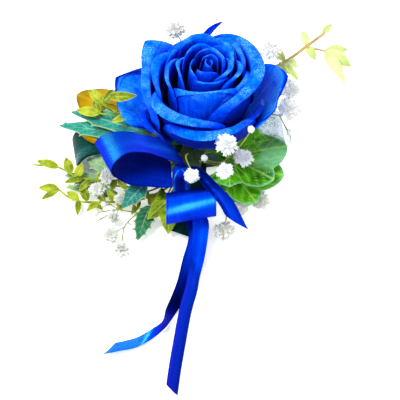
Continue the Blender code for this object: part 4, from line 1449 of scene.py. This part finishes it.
@dataclass
class Leaf(Stalked):
    """A leaf's blade from base to tip, with the stalk that carries it."""

    name: str
    node: str
    base: Point
    tip: Point
    width: float
    root: Sequence[Point]
    slot: str
    spines: int = 3
    bite: float = 0.16
    spike: float = 1.3
    arch: float = 2.0
    up: Point = (0.0, -0.35, 1.0)
    tone: float = 0.0
    wall: float = 0.4
    radii: tuple[float, float] = (0.75, 0.3)
    grid: tuple[int, int] = (26, 84)

    def blade(self) -> Item:
        """Builds the blade with its spined edge, midrib and side veins.

        Returns:
            The blade.
        """
        base = Vector(self.base)
        ahead, side, lift, reach = facing(self.base, self.tip, self.up)

        def place(across: float, t: float) -> Vector:
            """The blade's surface.

            Args:
                across: share across.
                t: share along.

            Returns:
                The place in millimetres.
            """
            s = centred(across)
            inside = 0.0 < t < 1.0
            half = self.width / 2.0 * math.sin(math.pi * t**0.75) ** 0.8 if inside else 0.0
            peak = abs(2.0 * ((t * self.spines + (0.25 if s > 0 else 0.0)) % 1.0) - 1.0)
            half *= 1.0 - self.bite * (1.0 - peak**2)
            spike = self.spike * peak**12 * abs(s) ** 8 * min(1.0, half)
            forward = 0.9 * spike
            bow = self.arch * math.sin(math.pi * t)
            fold = 0.22 * half * abs(s) + 0.35 * math.sin(math.pi * self.spines * 2.0 * t) * s * s
            ridge = -0.18 * math.exp(-(s * 7.0) ** 2)
            spot = base + ahead * (t * reach + forward) + side * (half + spike) * s
            return spot + lift * (bow + fold + ridge)

        def vein(across: float, t: float) -> float:
            """The midrib and the side veins.

            Args:
                across: share across.
                t: share along.

            Returns:
                The vein's strength, 0 to 1.
            """
            s = abs(centred(across))
            rib = math.exp(-(s * 13.0) ** 2)
            wave = math.sin((t * 7.0 - s * 1.1 + 0.12 * math.sin(5.0 * t)) * math.tau)
            return min(1.0, rib + 0.55 * max(0.0, wave) ** 10 * (1.0 - s**3))

        def margin(across: float, t: float) -> float:
            """The pale margin."""
            return max(0.0, abs(centred(across)) - 0.86) / 0.14

        masks = {"vein": vein, "margin": margin, "tone": even(self.tone)}
        return thicken(bent_grid(self.name, *self.grid, place, masks), self.wall)

    def route(self) -> list[Point]:
        """The places that the stalk passes, the last one a little way along the blade."""
        inner = Vector(self.base).lerp(Vector(self.tip), 0.14) + Vector((0.0, 0.0, self.arch * 0.3))
        return [*self.root, self.base, tuple(inner)]


@dataclass
class PalmLeaf(Stalked):
    """A leaf with lobes that fan from the end of its stalk."""

    name: str
    node: str
    base: Point
    aim_deg: float
    length: float
    root: Sequence[Point]
    slot: str
    lobes: int = 5
    droop: float = 3.0
    up: Point = (0.0, -0.35, 1.0)
    tone: float = 0.0
    notch: float = 0.42
    point: float = 1.35
    pale_at: float = 400.0
    wall: float = 0.4
    radii: tuple[float, float] = (0.75, 0.55)
    grid: tuple[int, int] = (116, 34)
    spread_deg: float = 145.0
    least: float = 0.38

    def reach(self, angle: float) -> float:
        """How far the edge is from the stalk's end in a direction.

        Args:
            angle: the direction in radians from the middle lobe.

        Returns:
            The way in millimetres.
        """
        best = self.least
        for lobe_deg, size in LOBES[: self.lobes]:
            off = abs(angle - math.radians(lobe_deg)) / math.radians(30.0)
            best = max(best, size * (1.0 - self.notch * min(off, 1.5) ** self.point))
        return best * self.length

    def blade(self) -> Item:
        """Builds the lobed blade with veins that radiate from the stalk.

        Returns:
            The blade.
        """
        base = Vector(self.base)
        up = Vector(self.up).normalized()
        aim = math.radians(self.aim_deg)
        flat = Vector((math.cos(aim), math.sin(aim), 0.0))
        side = up.cross(flat).normalized()
        ahead = side.cross(up).normalized()
        spread = math.radians(self.spread_deg)

        def place(across: float, t: float) -> Vector:
            """The blade's surface.

            Args:
                across: share across.
                t: share along.

            Returns:
                The place in millimetres.
            """
            angle = centred(across) * spread
            radius = self.reach(angle) * t
            swell = 0.5 * math.cos(angle * 8.0) * t
            drop = self.droop * (radius / self.length) ** 2
            crease = 0.3 * math.sin(radius * 0.9 + angle * 3.0) * t
            spot = base + ahead * radius * math.cos(angle) + side * radius * math.sin(angle)
            return spot + up * (swell - drop + crease * 0.6)

        def vein(across: float, t: float) -> float:
            """The midrib and the side veins.

            Args:
                across: share across.
                t: share along.

            Returns:
                The vein's strength, 0 to 1.
            """
            angle = centred(across) * spread
            radius = self.reach(angle) * t
            most = 0.0
            for lobe_deg, _ in LOBES[: self.lobes]:
                lobe = math.radians(lobe_deg)
                forward = radius * math.cos(angle - lobe)
                aside = abs(radius * math.sin(angle - lobe))
                if forward > 0.0:
                    most = max(most, math.exp(-(aside / 0.42) ** 2))
                    branch = math.sin((forward - aside * 1.1) * math.tau / 5.6)
                    near = 1.0 if aside < forward * 0.8 else 0.0
                    most = max(most, 0.75 * max(0.0, branch) ** 10 * near)
            return most

        def margin(across: float, t: float) -> float:
            """The pale margin.

            Args:
                across: share across.
                t: share along.

            Returns:
                Its strength, 0 or more.
            """
            angle = math.degrees(centred(across) * spread)
            lobe = hump(angle, self.pale_at, 18.0) * min(max((t - 0.5) / 0.1, 0.0), 1.0)
            return max(0.0, t - 0.93, 0.07 * lobe) / 0.07

        masks = {"vein": vein, "margin": margin, "tone": even(self.tone)}
        return thicken(bent_grid(self.name, *self.grid, place, masks), self.wall)

    def route(self) -> list[Point]:
        """The places that the stalk passes, the last one at the blade."""
        return [*self.root, self.base]


def dock(y: float, side_deg: float, *further: Point) -> list[Point]:
    """Where a stalk leaves the stem bundle.

    Args:
        y: the depth on the bundle.
        side_deg: the side that it leaves from.
        further: the places that it passes next.

    Returns:
        The start, a place 3 mm further out and the further ones.
    """
    share = (BUNDLE_BACK.y - y) / (BUNDLE_BACK.y - BUNDLE_FRONT.y)
    centre = BUNDLE_BACK.lerp(BUNDLE_FRONT, share)
    angle = math.radians(side_deg)
    rim = Vector((BUNDLE_HALF_WIDTH * math.cos(angle), 0.0, BUNDLE_HALF_HEIGHT * math.sin(angle)))
    out = Vector((math.cos(angle) / BUNDLE_HALF_WIDTH, 0.0, math.sin(angle) / BUNDLE_HALF_HEIGHT))
    out.normalize()
    start = centre + rim + out * SEAT_GAP
    return [tuple(start), tuple(start + out * 3.0), *further]


# Each leaf in the order of its class's fields, in millimetres and degrees
LEAVES = (
    Leaf("holly_blade_upper", "holly_leaf_upper", (-13, -12.5, 30.5), (-54, 5.5, 27.5), 11.5,
        dock(-12, 165, (-5, -12.5, 29)), "teal_leaf"),
    Leaf("holly_blade_outer", "holly_leaf_outer", (-22, -9, 24.5), (-60, 2.5, 20.5), 10,
        dock(-5, 175, (-9, -6.5, 25.2)), "teal_leaf", tone=-0.1),
    PalmLeaf("golden_blade", "golden_leaf", (-17, 3.5, 22.4), 152, 39, dock(3, 180, (-5, 3, 23.4)),
        "golden_leaf", 3, 0.8, (0, 0, 1), notch=0.4),
    Leaf("pale_blade_upper", "pale_leaf_upper", (-33, -21, 12.8), (-46, -14, 13.5), 9,
        dock(-19, 195, (-8, -19.5, 16), (-20, -20.5, 12.8)), "pale_leaf", arch=1),
    Leaf("pale_blade_middle", "pale_leaf_middle", (-37, -24.5, 6.6), (-57, -19.5, 8), 8.5,
        dock(-23, 210, (-6, -24.5, 14), (-20, -26, 7)), "pale_leaf", arch=0.8),
    Leaf("pale_blade_lower", "pale_leaf_lower", (-30, -28.5, 3.2), (-57, -22.5, 2.6), 7,
        dock(-25, 224, (-5, -26.5, 11), (-18, -28, 4.2)), "pale_leaf", arch=0.8),
    Leaf("blue_blade", "blue_leaf", (-16.5, -30.5, 14.5), (-28, -42, 9.5), 11, dock(-26.5, 192,
        (-8, -29.5, 19.5)), "teal_leaf", arch=1, tone=-0.5),
    Leaf("green_blade", "green_leaf", (-14.5, -38.5, 6.8), (-20.5, -57.5, 3), 10, dock(-31.6, 235,
        (-4, -35.5, 12.5)), "green_leaf", spines=5, arch=0.8),
    PalmLeaf("ivy_blade_bottom", "ivy_leaf_bottom", (-4.6, -39.5, 13.6), -92, 18, dock(-33, 245,
        (-3.5, -37, 15.5)), "ivy_green", 3, 3, (0, -0.45, 1), notch=0.5, point=0.85, tone=-0.05),
    PalmLeaf("ivy_blade_upper", "ivy_leaf_right_upper", (25, -27, 30.5), 16, 30, dock(-20, 15,
        (18, -23, 29.6)), "ivy_green", 5, 3, (0, -0.12, 1), notch=0.27, pale_at=-15, tone=-0.14),
    PalmLeaf("ivy_blade_lower", "ivy_leaf_right_lower", (24.5, -27.5, 23.8), -9, 28, dock(-24, -10,
        (19, -26.5, 24)), "ivy_green", 5, 1.5, notch=0.3, tone=0.12),
    PalmLeaf("ivy_blade_small", "ivy_leaf_right_small", (22, -31, 18.5), -62, 13, dock(-29, -30,
        (14, -29.5, 18.5)), "ivy_green", 3),
)


@dataclass
class Foliage:
    """Every leaf with a stalk of its own."""

    palette: Palette

    def build(self) -> None:
        """Builds the leaves."""
        palette = self.palette
        finishes = {
            "teal_leaf": palette.teal, "golden_leaf": palette.gold, "pale_leaf": palette.pale,
            "green_leaf": palette.green_leaf, "ivy_green": palette.ivy}
        yellow = {"ivy_blade_bottom": palette.yellow_ivy}
        for leaf in LEAVES:
            leaf.build(yellow.get(leaf.name, finishes[leaf.slot]), palette.stem)


# Sprigs


@dataclass
class Sprig:
    """Thin stems with small smooth leaves."""

    name: str
    node: str
    slot: str
    stems: Sequence[Sequence[Point]]
    leaves: Sequence[tuple]
    girth: float = 1.0
    wall: float = 0.35
    grid: tuple[int, int] = (12, 24)

    def leaflet(self, index: int, base: Point, tip: Point, width: float,
                up: Point = SPRIG_UP) -> Item:
        """Builds one small leaf.

        Args:
            index: its number.
            base: where it leaves the stem.
            tip: its end.
            width: its width.
            up: which way its face looks.

        Returns:
            The leaf.
        """
        start = Vector(base)
        ahead, side, lift, reach = facing(base, tip, up)

        def place(across: float, t: float) -> Vector:
            """The leaflet's surface.

            Args:
                across: share across.
                t: share along.

            Returns:
                The place in millimetres.
            """
            s = centred(across)
            half = width / 2.0 * math.sin(math.pi * t**0.8) ** 0.75 if 0.0 < t < 1.0 else 0.0
            wave = 0.25 * math.sin(8.0 * t + index) * s * s
            rise = 0.12 * reach * math.sin(math.pi * t) + 0.24 * half * abs(s) + wave
            rise -= 0.12 * math.exp(-(s * 6.0) ** 2)
            return start + ahead * t * reach + side * half * s + lift * rise

        def vein(across: float, t: float) -> float:
            """The midrib and the side veins.

            Args:
                across: share across.
                t: share along.

            Returns:
                The vein's strength, 0 to 1.
            """
            s = abs(centred(across))
            return min(1.0, math.exp(-(s * 7.0) ** 2)
                       + 0.5 * max(0.0, math.sin((t * 5.0 - s) * math.tau)) ** 6)

        def margin(across: float, t: float) -> float:
            """The pale margin."""
            return max(0.0, abs(centred(across)) - 0.8) * 5.0

        masks = {"vein": vein, "margin": margin, "tone": even(0.35 * math.sin(index * 2.4))}
        leaf = bent_grid(f"{self.name}_leaf_{index}", *self.grid, place, masks)
        return thicken(leaf, self.wall)

    def build(self, leaf: Finish, twig: Finish) -> Item:
        """Builds and seats the sprig.

        Args:
            leaf: the leaves' finish.
            twig: the stems' finish.

        Returns:
            The sprig.
        """
        made = []
        main = (0.75 * self.girth, 0.45 * self.girth)
        side = (0.5 * self.girth, 0.35)
        for index, line in enumerate(self.stems):
            radii = side if index else main
            made.append(stem(f"{self.name}_stem_{index}", line, radii, twig))
        for index, row in enumerate(self.leaves):
            made.append(dress(self.leaflet(index, *row), leaf))
        return seat(join(self.name, made), self.node)


# Each with its stems and then its leaves as base, tip, width and, if not up, facing
SPRIGS = (
    Sprig("leafy_upper_left", "sprig_upper_left", "light_sprig", [dock(-4.5, 150, (-5, -3.6, 33),
        (-16, -6, 36.4), (-25.5, -7, 38), (-37, 2.5, 35.6), (-44, 12.5, 34)), [(-25.5, -7, 38),
        (-35, -4, 36.2), (-42, -1, 34.5)], [(-25.5, -7, 38), (-28, -4.6, 42), (-36.5, -7, 49),
        (-33.5, -10.8, 58.2)]], [((-37.5, 3.5, 34.5), (-45, 14.5, 34), 5), ((-37.5, 3.5, 34.5),
        (-33, 13, 36), 4), ((-39.5, -2, 34.5), (-51, 1.5, 33), 5), ((-39.5, -2, 34.5),
        (-42.5, 6.5, 34), 4), ((-25.5, -7, 38), (-25, -2, 42), 4, (1, -1, 0.3)), ((-25.5, -7, 38),
        (-33.5, -9.5, 37), 3.6), ((-34, -10, 57.2), (-20.5, -13.5, 61.5), 5, (0, -1, 0.8))]),
    Sprig("leafy_left_upper", "sprig_left_upper", "light_sprig", [dock(-21, 200, (-9, -22, 15),
        (-24, -23.5, 9.8), (-40, -24.5, 9.8), (-52, -22.5, 11), (-60, -17.5, 11.5),
        (-73, -16, 12))], [((-60, -17.5, 11.5), (-71, -14, 12.5), 4.4), ((-54, -21.5, 11.2),
        (-56.5, -14, 15), 5), ((-51, -23, 11), (-48, -19, 16.5), 4.6), ((-44, -24.3, 10),
        (-50, -31, 9), 3.4), ((-41, -24.5, 9.8), (-36, -20.5, 13.8), 3.2), ((-36, -24.3, 9.6),
        (-41.5, -19, 12), 3.2), ((-48, -23.5, 10.6), (-57, -27, 11), 3.6), ((-30, -24, 9.8),
        (-26, -30, 8.6), 3.6), ((-32, -24.2, 9.8), (-33.5, -30.5, 8.6), 3.6), ((-20, -23.2, 10.8),
        (-23.5, -29, 10.4), 3.8)]),
    Sprig("leafy_left_lower", "sprig_left_lower", "light_sprig", [dock(-27.6, 226, (-6, -30, 10.5),
        (-20, -32, 3.6), (-38, -33, 3), (-52, -32.5, 4), (-61, -26, 6))], [((-60, -27, 6),
        (-70, -27, 7), 4.8), ((-60, -27, 6), (-68.5, -33, 5), 3.4), ((-50, -32.5, 4),
        (-56, -29, 6.5), 4.4), ((-45.5, -32.5, 3.6), (-49, -27.5, 8.5), 4.2), ((-40, -33, 3.2),
        (-46, -38.5, 2.6), 3.4), ((-37, -33, 3), (-41, -28.5, 5.6), 3.4), ((-50, -32.8, 4),
        (-50.5, -41, 2.2), 3.2), ((-32, -32.6, 3.4), (-35.5, -30, 8.6), 4), ((-28, -32.4, 3.3),
        (-25, -30, 6.4), 4), ((-30.5, -32.6, 3.2), (-28.5, -37.4, 1.6), 3.2), ((-19.5, -32.4, 3.4),
        (-23.5, -39.6, 1.6), 3.6), ((-15, -31.6, 5.4), (-20.5, -28.4, 7.6), 4.6), ((-12, -31, 7),
        (-15, -36.4, 5), 4.6), ((-24, -32.4, 3.2), (-31, -35.6, 1.4), 3.2), ((-43, -33, 3.2),
        (-38, -37, 2), 3)]),
    Sprig("leafy_upper_right", "sprig_upper_right", "pale_sprig", [dock(10.8, 60, (17.5, 20, 31),
        (27, 24.5, 35), (43, 22.5, 39.5), (54, 26, 43), (63, 32.5, 45.5), (73, 40, 48)),
        [(63, 32.5, 45.5), (69, 31, 46), (75, 29, 46)]], [((72, 39.5, 48), (76.5, 45, 49), 3.4),
        ((64, 33.5, 45.5), (62, 42, 47), 4.4), ((64, 33.5, 45.5), (68.5, 25, 44), 4.4),
        ((54, 26, 43), (59.5, 22.5, 42), 4.6), ((53, 25.5, 43), (46, 34.5, 45), 4.4),
        ((52, 25, 42.5), (60.5, 14, 40), 3.2), ((49, 24.4, 41.5), (59, 19, 40.5), 5),
        ((44, 23, 39.5), (52, 10, 38), 3.6), ((73, 29.5, 46), (86, 22, 43), 7), ((73, 29.5, 46),
        (83, 12, 42), 6), ((73, 29.5, 46), (84.5, 31.5, 45), 5)], 1.6),
)


@dataclass
class Sprigs:
    """The four leafy sprigs."""

    palette: Palette

    def build(self) -> None:
        """Builds the sprigs."""
        light, pale, twig = self.palette.sprig, self.palette.pale_sprig, self.palette.twig
        finishes = {"light_sprig": (light, light), "pale_sprig": (pale, twig)}
        for sprig in SPRIGS:
            sprig.build(*finishes[sprig.slot])


# Baby's breath


@dataclass
class Spray:
    """Baby's breath: fine stems that end in double flowers and buds."""

    name: str
    node: str
    stems: Sequence[Sequence[Point]]
    flowers: Sequence[tuple[Point, float]]
    buds: Sequence[tuple[Point, float]] = ()
    shade: Shade = Shade.BRIGHT


# Each with its stems, its flowers and its buds, both as middle and radius
SPRAYS = (
    Spray("breath_back", "babys_breath_back", [dock(12, 100, (9, 26, 36), (2, 30.5, 50),
        (-2, 29.5, 62))], [((-2, 29.5, 62.5), 4.2)], (), Shade.DIM),
    Spray("breath_right", "babys_breath_right", [dock(4, 20, (30, 3, 30), (42, -1, 34),
        (50, -5, 37), (55, -6.5, 41.5)), [(42, -1, 34), (50, 8, 38), (52, 16, 47), (46, 22.5, 54)],
        [(50, -5, 37), (54, -1, 42), (55.5, 3, 45)], [(50, -5, 37), (53, -12, 36), (55, -15.5, 36)],
        [(53, -12, 36), (56, -19, 34)]], [((45.5, 22.5, 55), 4.6), ((55, -6.6, 42.5), 4.8),
        ((55.6, 3.9, 46), 4.6)], [((55, -15.5, 36), 1.6), ((56.3, -19.5, 34), 1.6)], Shade.SOFT),
    Spray("breath_front", "babys_breath_front", [dock(-27, 35, (11, -30, 33.5), (19, -35, 36),
        (24, -40.5, 46), (23.5, -43.5, 58)), [(19, -35, 36), (26, -37, 35.5), (31.5, -34.5, 37)],
        [(24, -40.5, 46), (31, -37.5, 53), (35.5, -34, 59)], [(19, -35, 36), (22.8, -41, 42.5),
        (22.6, -48, 45)], [(11, -30, 33.5), (12.5, -36, 40.5)]], [((23.5, -44, 59), 4.6),
        ((32, -34, 37.5), 4), ((22.6, -49, 45.4), 3.6)], [((35.5, -33.8, 59.5), 1.7),
        ((12.6, -36.4, 41), 1.6)]),
    Spray("breath_knot", "babys_breath_knot", [dock(-28.2, 100, (4.5, -32, 39), (3.5, -38.5, 44),
        (6.5, -48, 44))], [((6.5, -49.5, 42.5), 3)]),
    Spray("breath_right_low", "babys_breath_right_low", [dock(-28, -50, (14, -34, 14),
        (23, -42, 11), (31, -42.5, 10.5), (40.8, -39.3, 12.2)), [(23, -42, 11), (23.5, -48, 9),
        (22.5, -54.5, 8.5)]], [((40.8, -39.3, 12.4), 4.1), ((31, -43.2, 10.4), 3.2),
        ((22.5, -55, 8), 4.2)], (), Shade.DIM),
    Spray("breath_left_low", "babys_breath_left_low", [dock(-30.2, 228, (-5.5, -34, 11),
        (-11, -37.5, 5), (-20, -41, 4.2), (-27, -50, 4.2), (-28, -65, 4.4)), [(-20, -41, 4.2),
        (-30, -38.5, 4.4), (-37, -34.5, 6.5), (-41, -31, 9)], [(-30, -38.5, 4.4), (-41, -42, 5.5)],
        [(-27, -50, 4.2), (-34, -55.5, 4.6)], [(-30, -38.5, 4.4), (-31.8, -44.4, 5.2)],
        [(-37, -34.5, 6.5), (-38.5, -32.5, 11), (-36.8, -28, 15)], [(-30, -38.5, 4.4),
        (-29.4, -36, 8)], [(-31, -38.8, 4.4), (-36, -43, 4.4), (-41, -46.4, 4.2)],
        [(-25.5, -47.2, 4.2), (-22.6, -49.8, 4.6)], [(-33.5, -36.6, 5.4), (-37, -38.6, 8)]],
        [((-41, -30.5, 9.4), 3.6), ((-34, -55.4, 5), 3.9), ((-28, -65.4, 4.6), 3.6),
        ((-31.8, -44.6, 5.4), 3), ((-36.8, -27, 15.6), 3.6), ((-29.4, -35.6, 8.4), 2.8)],
        [((-41.2, -42, 5.6), 1.6), ((-41.4, -46.8, 4.4), 1.6), ((-22.2, -50.2, 4.8), 1.4),
        ((-37.4, -38.8, 8.4), 1.4)], Shade.DIM),
)


@dataclass
class BabysBreath:
    """The six sprays, with one flower modelled once and copied."""

    palette: Palette
    rings: Sequence[tuple] = (
        (18, 4, 1, 0), (17, 24, 1, 0.1), (14, 44, 0.95, 0.15), (11, 64, 0.9, 0.2),
        (12, -20, 0.9, -0.1))
    main_stem: tuple[float, float] = (0.45, 0.28)
    side_stem: tuple[float, float] = (0.34, 0.24)

    def petal(self) -> Item:
        """One narrow blunt petal, 1 mm long and pointing along Y.

        Returns:
            The petal.
        """

        def place(across: float, t: float) -> Vector:
            """The petal's surface, 1 long.

            Args:
                across: share across.
                t: share along.

            Returns:
                The place.
            """
            s = centred(across)
            half = 0.05 + 0.14 * math.sin(min(t, 1.0) * 2.3)
            notch = -0.12 * (1.0 - abs(s)) * t**6
            return Vector((half * s, t + notch, 0.12 * math.sin(t * 2.8) + 0.05 * s * s))

        petal = thicken(bent_grid("floret", 2, 4, place, {}), 0.05, 0.0001)
        return dress(petal, self.palette.whites[Shade.BRIGHT])

    def flower(self) -> Item:
        """A double flower 1 mm in radius, looking up.

        Returns:
            The flower that every spray copies.
        """
        draw = random.Random(SEED)
        petal = self.petal()
        made = []
        for count, tilt, size, lift in self.rings:
            for i in range(count):
                turn = Matrix.Rotation(math.tau * (i + draw.uniform(-0.25, 0.25)) / count, 4, "Z")
                lean = Matrix.Rotation(math.radians(tilt + draw.uniform(-14.0, 14.0)), 4, "X")
                grow = Matrix.Scale(size * draw.uniform(0.72, 1.16), 4)
                shift = Matrix.Translation((0.0, 0.0, lift * 0.5 * MM))
                made.append(copy_of(petal, f"floret_{len(made)}", shift @ turn @ lean @ grow))
        bpy.data.objects.remove(petal, do_unlink=True)
        return join("flower", made)

    def bud(self, name: str, centre: Point, radius: float) -> Item:
        """A closed bud with a faint split between its petals.

        Args:
            name: its name.
            centre: its middle.
            radius: its radius.

        Returns:
            The bud.
        """

        def place(across: float, t: float) -> Vector:
            """The bud's surface.

            Args:
                across: share across.
                t: share along.

            Returns:
                The place in millimetres.
            """
            angle = math.tau * across
            lift = math.pi * (t - 0.5)
            ridge = 1.0 + 0.07 * math.cos(5.0 * angle)
            level = math.cos(lift)
            out = Vector((math.cos(angle) * level, math.sin(angle) * level, 1.15 * math.sin(lift)))
            return Vector(centre) + out * radius * ridge

        bud = thicken(bent_grid(name, 20, 12, place, {}), 0.1)
        return dress(bud, self.palette.whites[Shade.BRIGHT])

    def build_spray(self, spray: Spray, flower: Item) -> Item:
        """Builds and seats one spray.

        Args:
            spray: its stems, flowers and buds.
            flower: the flower to copy.

        Returns:
            The spray.
        """
        draw = random.Random(SEED + len(spray.name))
        made = []
        for index, line in enumerate(spray.stems):
            radii = self.side_stem if index else self.main_stem
            made.append(stem(f"{spray.name}_stem_{index}", line, radii, self.palette.stem, 20, 2))
        for index, (centre, radius) in enumerate(spray.flowers):
            facing = Vector((draw.uniform(-0.8, 0.8), draw.uniform(-0.9, 0.2), 0.7)).normalized()
            turn = facing.to_track_quat("Z", "Y").to_matrix().to_4x4()
            spin = Matrix.Rotation(draw.uniform(0.0, math.tau), 4, "Z")
            oval = Matrix.Diagonal((
                draw.uniform(0.85, 1.1), draw.uniform(0.85, 1.1), draw.uniform(0.9, 1.2), 1.0))
            grow = Matrix.Scale(radius * 1.2, 4)
            place = Matrix.Translation(Vector(centre) * MM) @ turn @ spin @ oval @ grow
            made.append(copy_of(flower, f"{spray.name}_flower_{index}", place))
            back = Vector(centre) - facing * radius * 0.55
            made.append(self.cup(f"{spray.name}_cup_{index}", back, facing, radius))
        for index, (centre, radius) in enumerate(spray.buds):
            made.append(self.bud(f"{spray.name}_bud_{index}", centre, radius))
        piece = join(spray.name, made)
        # Painted light: the spray takes the white for how much light it catches
        for spot, finish in enumerate(piece.data.materials):
            if finish == self.palette.whites[Shade.BRIGHT]:
                piece.data.materials[spot] = self.palette.whites[spray.shade]
        return seat(piece, spray.node)

    def cup(self, name: str, foot: Vector, facing: Vector, radius: float) -> Item:
        """The small green cup under a flower.

        Args:
            name: its name.
            foot: its lower end.
            facing: the way that the flower looks.
            radius: the flower's radius.

        Returns:
            The cup.
        """
        tip = foot + facing * radius * 0.6
        route = [tuple(foot), tuple((foot + tip) / 2.0), tuple(tip)]
        return stem(name, route, (0.4, radius * 0.3), self.palette.stem, 6, 2)

    def build(self) -> None:
        """Builds every spray from one flower."""
        flower = self.flower()
        for spray in SPRAYS:
            self.build_spray(spray, flower)
        bpy.data.objects.remove(flower, do_unlink=True)


@dataclass
class StemBundle:
    """The stems bound with tape under the rose."""

    palette: Palette
    half_width: float = 5.9
    half_height: float = 4.2
    slim: float = 0.955
    wraps: float = 13.0

    def build(self) -> Item:
        """Builds and seats the taped bundle.

        Returns:
            The bundle.
        """
        ahead = (BUNDLE_FRONT - BUNDLE_BACK).normalized()
        side = ahead.cross(Vector((0, 0, 1))).normalized()
        middle = (BUNDLE_BACK + BUNDLE_FRONT) / 2.0
        length = (BUNDLE_FRONT - BUNDLE_BACK).length

        def place(across: float, t: float) -> Vector:
            """The taped surface.

            Args:
                across: share across.
                t: share along.

            Returns:
                The place in millimetres.
            """
            angle = math.tau * across
            z = t - 0.5
            near_end = max(0.0, (abs(z) - 0.4) / 0.1)
            narrow = (1.0 - 0.4 * near_end**2) * (0.0 if t in (0.0, 1.0) else 1.0)
            wrap = 1.0 + 0.025 * ((t * self.wraps + across) % 1.0) + 0.02 * math.cos(7.0 * angle)
            out = side * math.cos(angle) * self.half_width
            out += Vector((0, 0, 1)) * math.sin(angle) * self.half_height
            return middle + ahead * z * length + out * narrow * wrap * self.slim

        grid = bent_grid("taped_stems", 48, 110, place, {})
        return seat(dress(thicken(grid, 0.1), self.palette.tape), "stem_bundle")


# Studio


@dataclass
class Studio:
    """The pale floor, soft light and camera."""

    palette: Palette
    centre: Point = (10.5, -29.0, 0.0)
    across: float = 200.0
    lens: float = 400.0
    elevation_deg: float = 50.0
    sensor: float = 36.0
    far: float = 50.0
    floor_side: float = 12.0
    floor_height: float = -0.0002
    room_light: float = 0.42
    aim: Point = (0.0, -0.03, 0.03)
    lamps: Sequence[tuple] = (
        ("key_light", (-0.42, -0.2, 0.95), 0.4, 13.0),
        ("fill_light", (0.75, -0.6, 0.6), 0.7, 6.0),
        ("back_light", (0.15, 0.8, 0.55), 0.5, 4.0))

    def floor(self) -> None:
        """Lays the floor."""
        deselect()
        place = (0.0, 0.0, self.floor_height)
        bpy.ops.mesh.primitive_plane_add(size=self.floor_side, location=place)
        floor = bpy.context.active_object
        floor.name = "floor"
        dress(floor, self.palette.floor)

    def area(self, name: str, place: Point, size: float, power: float) -> None:
        """Hangs one soft light that looks at the corsage.

        Args:
            name: its name.
            place: where it hangs, in metres.
            size: its side in metres.
            power: its power in watts.
        """
        bpy.ops.object.light_add(type="AREA", location=place)
        lamp = bpy.context.active_object
        lamp.name = name
        lamp.data.size = size
        lamp.data.energy = power
        lamp.rotation_mode = "QUATERNION"
        way = Vector(self.aim) - Vector(place)
        lamp.rotation_quaternion = way.to_track_quat("-Z", "Y")

    def camera(self) -> None:
        """Sets the camera at the photograph's angle."""
        rise = math.radians(self.elevation_deg)
        back = Vector((0.0, -math.cos(rise), math.sin(rise)))
        distance = self.across * MM * self.lens / self.sensor
        bpy.ops.object.camera_add(location=Vector(self.centre) * MM + back * distance)
        camera = bpy.context.active_object
        camera.name = "studio_camera"
        camera.data.lens = self.lens
        camera.data.clip_end = self.far
        camera.rotation_mode = "QUATERNION"
        camera.rotation_quaternion = (-back).to_track_quat("-Z", "Y")
        bpy.context.scene.camera = camera

    def build(self) -> None:
        """Builds the studio."""
        self.floor()
        for lamp in self.lamps:
            self.area(*lamp)
        world = bpy.data.worlds.new("soft_room")
        bpy.context.scene.world = world
        world.use_nodes = True
        background = world.node_tree.nodes["Background"]
        background.inputs[0].default_value = (1.0, 1.0, 1.0, 1.0)
        background.inputs[1].default_value = self.room_light
        bpy.context.scene.view_settings.view_transform = "Standard"
        self.camera()


def main() -> None:
    """Builds the corsage and its studio."""
    logging.basicConfig(level=logging.INFO)
    palette = Palette()
    Rose(palette).build()
    Bow(palette).build()
    Wristband(palette).build()
    StemBundle(palette).build()
    Foliage(palette).build()
    Sprigs(palette).build()
    BabysBreath(palette).build()
    Studio(palette).build()
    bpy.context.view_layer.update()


if __name__ == "__main__":
    main()
